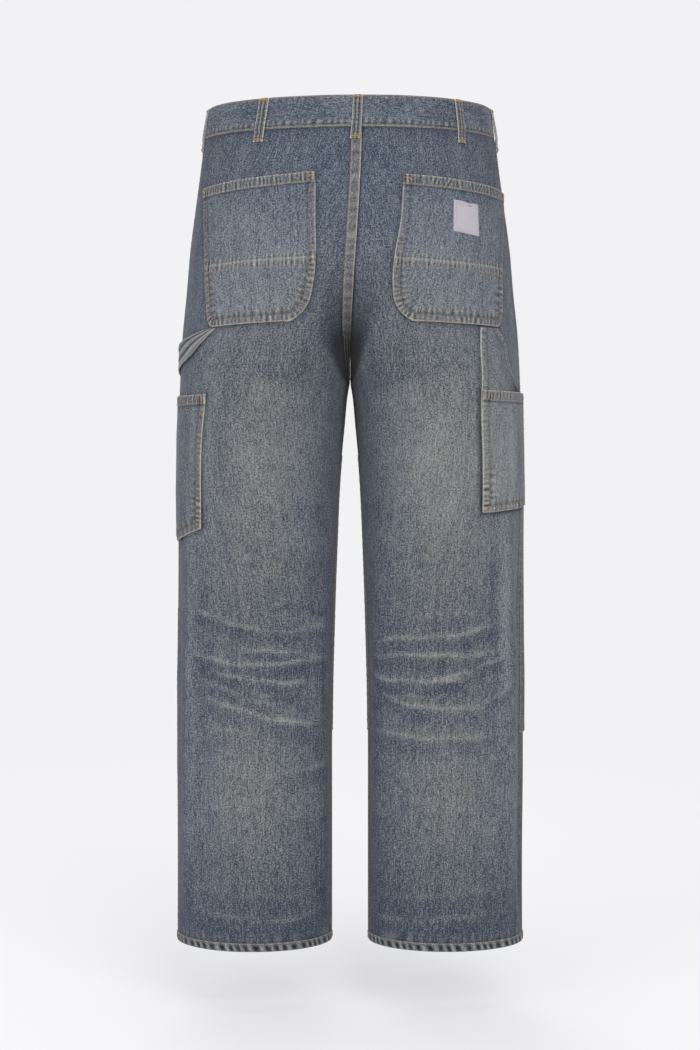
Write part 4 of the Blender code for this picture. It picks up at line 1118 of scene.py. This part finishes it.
def kneeRelief(angle, height, side):
    # A flat panel with edges rolled in, two grooves at its top and foot, and puckers along all its edges.
    turn = -angle
    speed = speedAt(angle, height)
    arc = turn * speed
    outer = (turn - panelStart(height, side, False)) * speed
    inner = (innerAngle(height) - turn) * speed
    ends = np.minimum(kneeSpec["top"] - height, height - kneeSpec["foot"])
    edge = np.minimum(np.minimum(outer, inner), ends)
    ropes, sideRopes = ripple(arc, 8 * mm, side + 4), ripple(height, 9 * mm, side + 6)
    band = ease((10.5 * mm - ends) / (2 * mm)) * ease(ends / (1.2 * mm))
    lift = kneeSpec["lift"] + cut["patchWall"] - 0.9 * mm * crest(edge, 0, 0.9) + band * 0.24 * mm * ropes
    worn = 0.6 * crest(ends, 0.5, 1.4) + 0.3 * crest(outer, 0.5, 1.3) + 0.28 * band * unit(ropes)
    # painted shade between the puckers at the top and foot and along the inner edge
    painted_shade = 0.25 * band * unit(-ropes) + 0.3 * crest(inner, 0, 3)
    for row in kneeSpec["rows"]:
        lift = lift - 0.28 * mm * crest(ends - row, 0, 0.8)
    sideBand = ease((9 * mm - np.minimum(outer, inner)) / (3 * mm))
    return lift + sideBand * 0.18 * mm * sideRopes, worn + sideBand * 0.12 * unit(sideRopes), painted_shade


def kneePanel(name, side):
    rows = int((kneeSpec["top"] - kneeSpec["foot"]) / kneeSpec["pitch"])
    ends = np.array([0, 0.7, 1.4, 2.2, 3.2, 4.4, 5.8, 7.2, 8.4, 9.6, 11]) * mm
    inside = np.linspace(kneeSpec["top"] - ends[-1], kneeSpec["foot"] + ends[-1], rows)[1:-1]
    height = np.concatenate([kneeSpec["top"] - ends, inside, kneeSpec["foot"] + ends[::-1]])[:, None]
    start, end = panelStart(height, side, False), innerAngle(height)
    inset = 0.2 * mm / speedAt(start, height)
    turn = (start + inset) + (end - start - 2 * inset) * np.linspace(0, 1, 62)[None, :]
    height = np.broadcast_to(height, turn.shape)
    lift, worn, painted_shade = kneeRelief(-turn, height, side)
    points = onLeg(-turn, height, side, lift)
    fade = fadeAt(-turn, height, side) + 0.06
    uv = np.stack([arcLength(turn, height), height], -1)
    gridObject(name, points, uv, {"fade": fade, "worn": worn, "painted_shade": painted_shade}, [pocketDenim, pocketDenim],
               cut["patchWall"],
               name, legNormal(-turn, height, side))
    at = np.linspace(0.012, 0.988, 160)
    for edgeName, sign in (("top", -1), ("foot", 1)):
        for row in kneeSpec["rows"]:
            level = np.full(at.shape, kneeSpec[edgeName] + sign * row)
            start, end = panelStart(level, side, False), innerAngle(level)
            path = -(start + (end - start) * at)
            sewOn(legRows[side], path, level, side, kneeRelief, (side,))


flySpec = {"width": 38 * mm, "foot": -0.190, "curve": 45 * mm, "rows": (2.0 * mm, 8.0 * mm),
           "grid": (34, 140)}


def flyParam(across, down):
    # The outer edge curves in to the middle seam at the foot, as a quarter of an ellipse.
    height = cut["waistFoot"] - cut["seam"] + (flySpec["foot"] - cut["waistFoot"]) * down
    curve = unit((flySpec["foot"] + flySpec["curve"] - height) / flySpec["curve"])
    width = flySpec["width"] * np.sqrt(1 - (0.93 * curve) ** 2)
    end = innerAngle(height)
    return -(end - (width * (1 - across) + cut["seam"]) / speedAt(end, height)), height


def fly():
    across, down = evenGrid(*flySpec["grid"])
    angle, height = flyParam(across, down)
    t = np.linspace(0, 1, 90)
    outline = legSurface(*flyParam(np.zeros(90), t), left)

    def relief(angle, height):
        edge, along = nearPath(legSurface(angle, height, left), outline)
        middle = (innerAngle(height) + angle) * speedAt(angle, height)
        ropes = ripple(along, 6.5 * mm, 3)
        band = ease((10 * mm - edge) / (2 * mm)) * ease(edge / (1.2 * mm))
        lift = cut["lay"] + cut["patchWall"] - 0.9 * mm * crest(edge, 0, 0.9) + 0.2 * mm * ropes * band
        lift = lift - 0.5 * mm * crest(middle, 0, 0.9)
        for row in flySpec["rows"]:
            lift = lift - dent(edge - row)
        worn = 0.5 * crest(edge, 0.5, 1.2) + 0.3 * band * unit(ropes) + 0.5 * crest(middle, 0.4, 1.4)
        # the third value is painted shade between the puckers
        return lift, worn, 0.25 * band * unit(-ropes)

    lift, worn, painted_shade = relief(angle, height)
    points = onLeg(angle, height, left, lift)
    points[..., 0] = np.maximum(points[..., 0], cut["seam"] / 2)
    uv = np.stack([arcLength(angle, height), height], -1)
    gridObject("fly", points, uv, {"fade": fadeAt(angle, height, left), "worn": worn, "painted_shade": painted_shade},
               [denim, denim], cut["patchWall"], "fly", legNormal(angle, height, left))
    for row in flySpec["rows"]:
        path, level = insetPath(*flyParam(np.zeros(90), t), row)
        sewOn("waist", path[:-3], level[:-3], left, relief)


facingSpec = {"depth": 4.2 * mm, "topDepth": 2.0 * mm, "rise": 5 * mm, "tuck": 16 * mm, "foot": -0.188,
              "grid": (24, 60)}


def facing(name, side):
    # Behind the panel by a set depth, less at the waist, where it runs on behind the waistband.
    across, down = evenGrid(*facingSpec["grid"])
    top = cut["waistFoot"] + facingSpec["rise"]
    height = top + (facingSpec["foot"] - top) * down
    angle = -frontStart(height, side, (mouthReach(height) + facingSpec["tuck"]) * across)
    depth = facingSpec["depth"] - 1.3 * mm * bell(across, 0.3) * ease((height + 0.19) / 0.05)
    depth = depth - (depth - facingSpec["topDepth"]) * bell(np.maximum(cut["waistFoot"] - height, 0), 9 * mm)
    points = onLeg(angle, height, side, -depth)
    uv = np.stack([arcLength(angle, height), height], -1)
    # painted shade on the facing where the pocket's mouth lies over it
    marks = {"fade": fadeAt(angle, height, side) - 0.05, "worn": np.zeros(angle.shape),
             "painted_shade": 0.35 * bell((1 - across) * (mouthReach(height) + facingSpec["tuck"])
                                 - facingSpec["tuck"], 6 * mm)}
    gridObject(name, points, uv, marks, [denim, denim], cut["patchWall"], name,
               legNormal(angle, height, side))


# Hem bands
hemSpec = {"rise": 1.0 * mm, "columns": 420, "rows": 12, "row": 2.6 * mm, "rope": 10.0 * mm, "wall": 1.0 * mm}


def hemRelief(angle, height, side):
    # A turned band with slanting ropes round the leg, rolled in at its two edges.
    up = height - cut["hem"]
    arc = angle * 0.083
    lean = arc + 0.35 * up * side
    ropes = ripple(lean, hemSpec["rope"], side + 1, 0.35)
    top = cut["hemHeight"] - up
    lift = hemSpec["rise"] + 0.42 * mm * ropes * crest(up, 4.5, 5.5) - 1.0 * mm * crest(top, 0, 0.8)
    lift = lift - 0.8 * mm * crest(up, 0, 1.1) - 0.25 * mm * crest(top - hemSpec["row"], 0, 0.8)
    worn = 0.62 * unit(ropes - 0.05) * crest(up, 3.5, 5) + 0.20 * crest(up, 0.6, 1.2)
    worn = worn + 0.50 * crest(top, 0.5, 0.9)
    # painted shade between the hem band's puckers
    painted_shade = 1.0 * unit(-ropes + 0.25) * crest(up, 4.5, 5)
    return lift, worn, painted_shade


def hemBand(name, side):
    # Round the leg once, then its first and last columns are joined.
    across, up = evenGrid(hemSpec["columns"], hemSpec["rows"])
    angle, height = (2 * across - 1) * math.pi, cut["hem"] + cut["hemHeight"] * up
    lift, worn, painted_shade = hemRelief(angle, height, side)
    turn = ease((np.abs(angle) - math.radians(176)) / math.radians(4))
    smooth = hemRelief(np.full(angle.shape, math.pi), height, side)
    lift, worn, painted_shade = (own * (1 - turn) + end * turn for own, end in zip((lift, worn, painted_shade), smooth))
    points = onLeg(angle, height, side, lift)
    points[:, -1] = points[:, 0]
    uv = np.stack([arcLength(angle, height), height], -1)
    marks = {"fade": 0.30 + 0 * angle, "worn": worn, "painted_shade": painted_shade}
    band = gridObject(name, points, uv, marks, [denim, denim], hemSpec["wall"], None,
                      legNormal(angle, height, side))
    weld(band)
    path = np.linspace(-math.pi, math.pi, 400)
    level = np.full(path.shape, cut["hem"] + cut["hemHeight"] - hemSpec["row"])
    sewOn(legRows[side], path, level, side, hemRelief, (side,))


# Rows of sewing on the legs
def sewLeg(side):
    group = legRows[side]
    if side == left:
        level = np.linspace(-0.021, -0.317, 160)
        for row in panelSpec["feltRows"]:
            path = innerAngle(level) - row / speedAt(innerAngle(level), level)
            sewOn(group, path, level, side, panelRelief, (side, True))
    level = np.linspace(-0.330, cut["hem"] + cut["hemHeight"] + 1 * mm, 340)
    for row in panelSpec["feltRows"][1:]:
        path = innerAngle(level) - row / speedAt(innerAngle(level), level)
        sewOn(group, path, level, side, panelRelief, (side, True))
    level = np.linspace(-0.022, cut["hem"] + cut["hemHeight"] + 1 * mm, 400)
    path = panelStart(level, side, True) + 2.4 * mm / speedAt(panelStart(level, side, True), level)
    sewOn(group, path, level, side, panelRelief, (side, True))
    level = np.linspace(-0.021, panelSpec["frontPocketFoot"] + 2 * mm, 120)
    for row in panelSpec["mouthRows"]:
        path = -(panelStart(level, side, False) + row / 0.8 / speedAt(panelStart(level, side, False), level))
        sewOn(group, path, level, side, panelRelief, (side, False))


def sewPiece(name, side, spec, relief):
    # Two rows inside the sewn edge, two along the hem or mouth, and two below the reinforcement's edge.
    angle, height = pieceOutline(name, spec)
    for row in spec.get("rows", (1.8 * mm, 7.6 * mm)):
        path, level = insetPath(angle, height, row)
        keep = slice(2, -2) if row < 3 * mm else slice(4, -4)
        sewOn("pockets", path[keep], level[keep], side, relief, fold=bridgedFold)
    s = np.linspace(0.015, 0.985, 90)
    tall = abs(pocketEdges[name][-1][2] - pocketEdges[name][0][2])
    offsets = []
    if spec.get("hem"):
        offsets += [1.9 * mm / tall, (spec["hem"] - 2.0 * mm) / tall]
    if "reinforced" in spec:
        offsets += [spec["reinforced"] + 1.6 * mm / tall, spec["reinforced"] + 7.4 * mm / tall]
    for down in offsets:
        path, level = edgeParam(name, s, np.full(s.shape, down), spec)
        sewOn("pockets", path, level, side, relief, fold=bridgedFold)
    for across, lean in spec.get("tacks", ()):
        path, level = edgeParam(name, np.array([across]), np.array([0.03]), spec)
        raised = relief(path, level)[0][0] + stitchSpec["tackStand"]
        bartack(path[0], level[0], side, raised, lean, (8.5 * mm, 2.2 * mm), bridgedFold)


# Pockets and what lies on them. Sizes are parts of the piece's width and height unless they are in mm.
pocketSpecs = {
    "back_pocket_left": {
        "side": left, "grid": (90, 112), "corners": (0.09, 0.16), "hem": 12.5 * mm, "reinforced": 0.585,
        "seed": 1,
        "lift": 0.6 * mm, "fade": 0.17, "tacks": ((0.035, -0.75), (0.965, 0.75)),
        "spots": ((0.45, 0.40, 0.35, 0.25, 0.08), (0.8, 0.15, 0.3, 0.2, -0.10)),
    },
    "back_pocket_right": {
        "side": right, "grid": (90, 112), "corners": (0.09, 0.16), "hem": 12.5 * mm, "reinforced": 0.585,
        "seed": 4,
        "lift": 0.6 * mm, "fade": 0.15, "tacks": ((0.035, -0.75), (0.965, 0.75)),
        "spots": ((0.55, 0.40, 0.35, 0.25, 0.06), (0.5, 0.1, 0.4, 0.1, -0.08)),
    },
    "tool_pocket": {
        "side": right, "grid": (60, 122), "seed": 6, "lift": 0.6 * mm, "fade": 0.18,
        "rows": (1.8 * mm, 7.4 * mm),
        "puff": 0.5 * mm, "shades": ((0.14, 0.375, 0.16, 0.055, 0.85), (0.30, 0.20, 0.10, 0.16, 0.3)),
    },
    "tool_pocket_front": {
        "side": right, "grid": (62, 110), "hem": 11.5 * mm, "seed": 9, "lift": 2.6 * mm, "fade": 0.24,
        "rows": (1.8 * mm, 7.4 * mm), "puff": 1.2 * mm,
        "spots": ((0.5, 0.45, 0.07, 0.4, 0.16), (0.7, 0.5, 0.2, 0.5, 0.04)),
        "shades": ((0.28, 0.55, 0.10, 0.35, 0.38),),
    },
    "ruler_pocket": {
        "side": left, "grid": (64, 110), "hem": 11.5 * mm, "point": (0.43, 0.014), "seed": 12,
        "lift": 0.6 * mm,
        "fade": 0.04, "tacks": ((0.95, 1.57),), "puff": 1.2 * mm,
    },
}


def pockets():
    for name, spec in pocketSpecs.items():
        if "reinforced" in spec:
            s = np.linspace(-0.05, 1.05, 23)
            angle, level = edgeParam(name, s, np.full(s.shape, spec["reinforced"]), spec)
            spec["below"] = lambda a, h, xs=angle, ys=level: h < np.interp(a, xs, ys)
        relief = lyingPiece(name, spec["side"], spec)
        sewPiece(name, spec["side"], spec, relief)


hammerSpec = {"grid": (44, 110), "lift": 0.6 * mm, "bow": 3.0 * mm, "ridges": 2.6, "rise": 1.3 * mm}


def hammerLoop():
    # A crumpled strap: three ridges run its length, higher in its middle, and its edges are worn pale.
    spec = hammerSpec
    across, down = evenGrid(*spec["grid"])
    table = np.array(pocketEdges["hammer_loop"], float)
    at = [curveThrough(table[:, 0], table[:, k], down) for k in (1, 2, 3, 4)]
    angle = np.radians(at[0] + (at[2] - at[0]) * across)
    height = at[1] + (at[3] - at[1]) * across
    swell = np.sin(math.pi * unit(down * 0.9 + 0.08))
    wave = np.sin(across * spec["ridges"] * 2 * math.pi + 0.9 * np.sin(down * 5) + 0.5)
    wide = np.hypot((at[2] - at[0]) * 2.2 * mm, at[3] - at[1])
    edge = np.minimum(across, 1 - across) * wide
    small = np.sin(down * 31 + 7 * across) * np.sin(across * 11 + 3 * down)
    lift = spec["lift"] + cut["patchWall"] + spec["bow"] * np.sin(math.pi * down)
    lift = lift + spec["rise"] * swell * (0.5 + 0.5 * wave) + 0.25 * mm * small * swell
    lift = lift - 0.8 * mm * crest(edge, 0, 1.0)
    points = onLeg(angle, height, left, lift, bridgedFold)
    worn = 0.22 + 0.30 * unit(wave) + 0.45 * crest(edge, 0.6, 1.2)
    # painted shade in the troughs between the strap's ridges
    painted_shade = 0.95 * unit(-wave) ** 2 * ease(edge / (2.5 * mm))
    uv = np.stack([across * 0.04, down * 0.13], -1)
    gridObject("hammer_loop", points, uv, {"fade": 0.55 + 0 * angle, "worn": worn, "painted_shade": painted_shade},
               [pocketDenim, pocketDenim],
               cut["patchWall"], "hammer_loop", legNormal(angle, height, left, bridgedFold))


labelSpec = {"grid": (38, 38), "lift": 2.2 * mm, "wall": 0.5 * mm, "row": 1.6 * mm}


def label():
    # A bare woven label with turned edges, sewn down along all four.
    across, down = evenGrid(*labelSpec["grid"])
    angle, height = edgeParam("pocket_label", across, down, {"corners": (0.001, 0.001)})
    edge = np.minimum(np.minimum(across, 1 - across), np.minimum(down, 1 - down)) * 38 * mm

    def lift(edge, across, down):
        turned = 0.25 * mm * ease((4 * mm - edge) / (0.8 * mm)) - 0.3 * mm * crest(edge, 0, 0.6)
        cockle = 0.22 * mm * np.sin(across * 9 + 1) * np.sin(down * 7 + 2)
        return labelSpec["lift"] + labelSpec["wall"] + turned + cockle - 0.15 * mm * crest(edge
                - labelSpec["row"], 0, 0.5)

    points = onLeg(angle, height, right, lift(edge, across, down), bridgedFold)
    uv = np.stack([across * 38 * mm, down * 39 * mm], -1)
    # painted shade at the label's edge and along the inner end of its turned edges
    marks = {"fade": 0 * angle, "worn": 0 * angle,
             "painted_shade": 0.25 * crest(edge, 4, 0.8) + 0.4 * crest(edge, 0, 0.5)}
    gridObject("pocket_label", points, uv, marks, [labelMaterial()], labelSpec["wall"], "pocket_label",
               legNormal(angle, height, right, bridgedFold))
    t = np.linspace(0, 1, 30)
    inset = labelSpec["row"] / (38 * mm)
    one = np.full(t.shape, 1 - inset)
    zero = np.full(t.shape, inset)
    t = inset + (1 - 2 * inset) * t
    for s, d in ((t, zero), (one, t), (t[::-1], one), (zero, t[::-1])):
        path, level = edgeParam("pocket_label", s, d, {"corners": (0.001, 0.001)})
        edgeThere = np.full(s.shape, labelSpec["row"])
        sew("label", path, level, right, lift(edgeThere, s, d) + 0.15 * mm, bridgedFold, 2.6 * mm, 2.0 * mm,
            0.28 * mm)


buttonSpec = {"radius": 8.5 * mm, "height": 2.4 * mm, "angle": -89.5, "stand": 0.6 * mm}


def waistButton():
    # A dished jeans button: the radius of each ring and its height, turned about the button's own line.
    profile = np.array([(0, 0.55), (0.25, 0.55), (0.40, 0.62), (0.50, 0.72), (0.58, 0.66), (0.70, 0.60),
                        (0.80, 0.80),
                        (0.90, 1.0), (0.97, 0.92), (1.0, 0.65), (1.0, 0.30), (0.94, 0.08), (0.80, 0), (0, 0)])
    steps = 56
    turn = np.linspace(0, 2 * math.pi, steps + 1)
    angle, height = np.array([math.radians(buttonSpec["angle"])]), np.array([0.0])
    base = onLeg(angle, height, left, bandSpec["proud"] + buttonSpec["stand"])[0]
    out = legNormal(angle, height, left)[0]
    side = np.cross(out, [0, 0, 1.0])
    side = side / np.linalg.norm(side)
    up = np.cross(side, out)
    radius = profile[:, 0, None] * buttonSpec["radius"]
    points = base + (radius * np.cos(turn))[..., None] * side + (radius * np.sin(turn))[..., None] * up
    points = points + (profile[:, 1, None] * buttonSpec["height"] + 0 * turn)[..., None] * out
    outward = points - base - out * buttonSpec["height"] * 0.4
    button = gridObject("waist_button", points, np.zeros(points.shape[:2] + (2,)), {}, [buttonMaterial()], 0,
                        "waist_button",
                        outward)
    weld(button)


# The stage
stageSpec = {"camera": (0.0, 2.6, -0.383), "tilt": 2.55, "lens": 70.87, "floor": -1.105,
             "pale": (0.888, 0.888, 0.905)}


def stage():
    look = bpy.data.objects.new("camera", bpy.data.cameras.new("camera"))
    bpy.context.scene.collection.objects.link(look)
    look.location = stageSpec["camera"]
    look.rotation_euler = (math.radians(90 - stageSpec["tilt"]), 0, math.pi)
    look.data.lens = stageSpec["lens"]
    look.data.sensor_width = 36
    bpy.context.scene.camera = look
    world = bpy.data.worlds.new("studio")
    world.use_nodes = True
    tree = world.node_tree
    seen = addNode(tree, "ShaderNodeLightPath").outputs["Is Camera Ray"]
    strength = calc(tree, "MULTIPLY_ADD", seen, 1 - 0.62, 0.62)
    feed(tree, tree.nodes["Background"], Color=(*stageSpec["pale"], 1), Strength=strength)
    bpy.context.scene.world = world
    lamps = (
        ("key", (-1.1, 3.0, 1.5), 2.2, 62), ("fill", (1.9, 2.4, 0.2), 2.0, 30),
        ("top", (0.0, 0.3, 2.4), 1.6, 16),
        ("front", (0.6, -3.0, 1.2), 2.2, 46),
    )
    for name, place, size, power in lamps:
        lamp = bpy.data.objects.new(name, bpy.data.lights.new(name, "AREA"))
        lamp.data.size = size
        lamp.data.energy = power
        lamp.location = place
        aim = np.array((0, 0, -0.5)) - np.array(place)
        dip, turn = math.atan2(math.hypot(aim[0], aim[1]), -aim[2]), math.atan2(aim[1], aim[0])
        lamp.rotation_euler = (dip, 0, turn - math.pi / 2)
        bpy.context.scene.collection.objects.link(lamp)
    across = np.linspace(-1, 1, 41)
    x, y = np.meshgrid(across * 4, across * 4)
    points = np.stack([x, y, np.full(x.shape, stageSpec["floor"])], -1)
    mesh = bpy.data.meshes.new("floor")
    index = np.arange(points.shape[0] * points.shape[1]).reshape(points.shape[:2])
    quads = np.stack([index[:-1, :-1], index[:-1, 1:], index[1:, 1:], index[1:, :-1]], -1).reshape(-1, 4)
    mesh.from_pydata(points.reshape(-1, 3).tolist(), [], quads.tolist())
    finish, tree, shader = newFinish("floor")
    place = addNode(tree, "ShaderNodeTexCoord").outputs["Object"]
    reach = addNode(tree, "ShaderNodeVectorMath", operation="LENGTH")
    tree.links.new(place, reach.inputs[0])
    away = addNode(tree, "ShaderNodeMapRange", interpolation_type="SMOOTHSTEP")
    feed(tree, away, Value=reach.outputs["Value"])
    away.inputs["From Min"].default_value = 1.15
    away.inputs["From Max"].default_value = 2.4
    away.inputs["To Min"].default_value = 1
    away.inputs["To Max"].default_value = 0
    feed(tree, shader, Base_Color=(0.52, 0.52, 0.53, 1), Roughness=0.9, Alpha=away.outputs["Result"])
    feed(tree, shader, Emission_Color=(0.86, 0.86, 0.875, 1), Emission_Strength=0.42)
    shader.inputs["Specular IOR Level"].default_value = 0.0
    mesh.materials.append(finish)
    floor = bpy.data.objects.new("floor", mesh)
    bpy.context.scene.collection.objects.link(floor)
    bpy.context.scene.view_settings.view_transform = "Standard"
    bpy.context.scene.view_settings.look = "None"


print("leg panels")
halves = (("left", left), ("right", right))
for half, side in halves:
    legPanel("back_" + half, side, True)
for half, side in halves:
    legPanel("front_" + half, side, False)
for half, side in halves:
    hemBand("hem_" + half, side)
print("waistband and belt loops")
waistband()
for loop in loops:
    beltLoop(*loop)
print("knee panels, fly and facings")
for half, side in halves:
    kneePanel("knee_panel_" + half, side)
fly()
for half, side in halves:
    facing("front_pocket_facing_" + half, side)
print("pockets")
pockets()
hammerLoop()
label()
waistButton()
print("sewing")
sewLeg(left)
sewLeg(right)
for group, rows in sewing.items():
    threadObject("sewing_" + group, rows,
                 {"bartacks": orangeThread, "label": labelThread}.get(group, tanThread))
print("sheets")
for name, piece, points in declared:
    cutSheet(piece, points, *holds.get(name, ("laid", ["waistband"])))
print("stage")
stage()
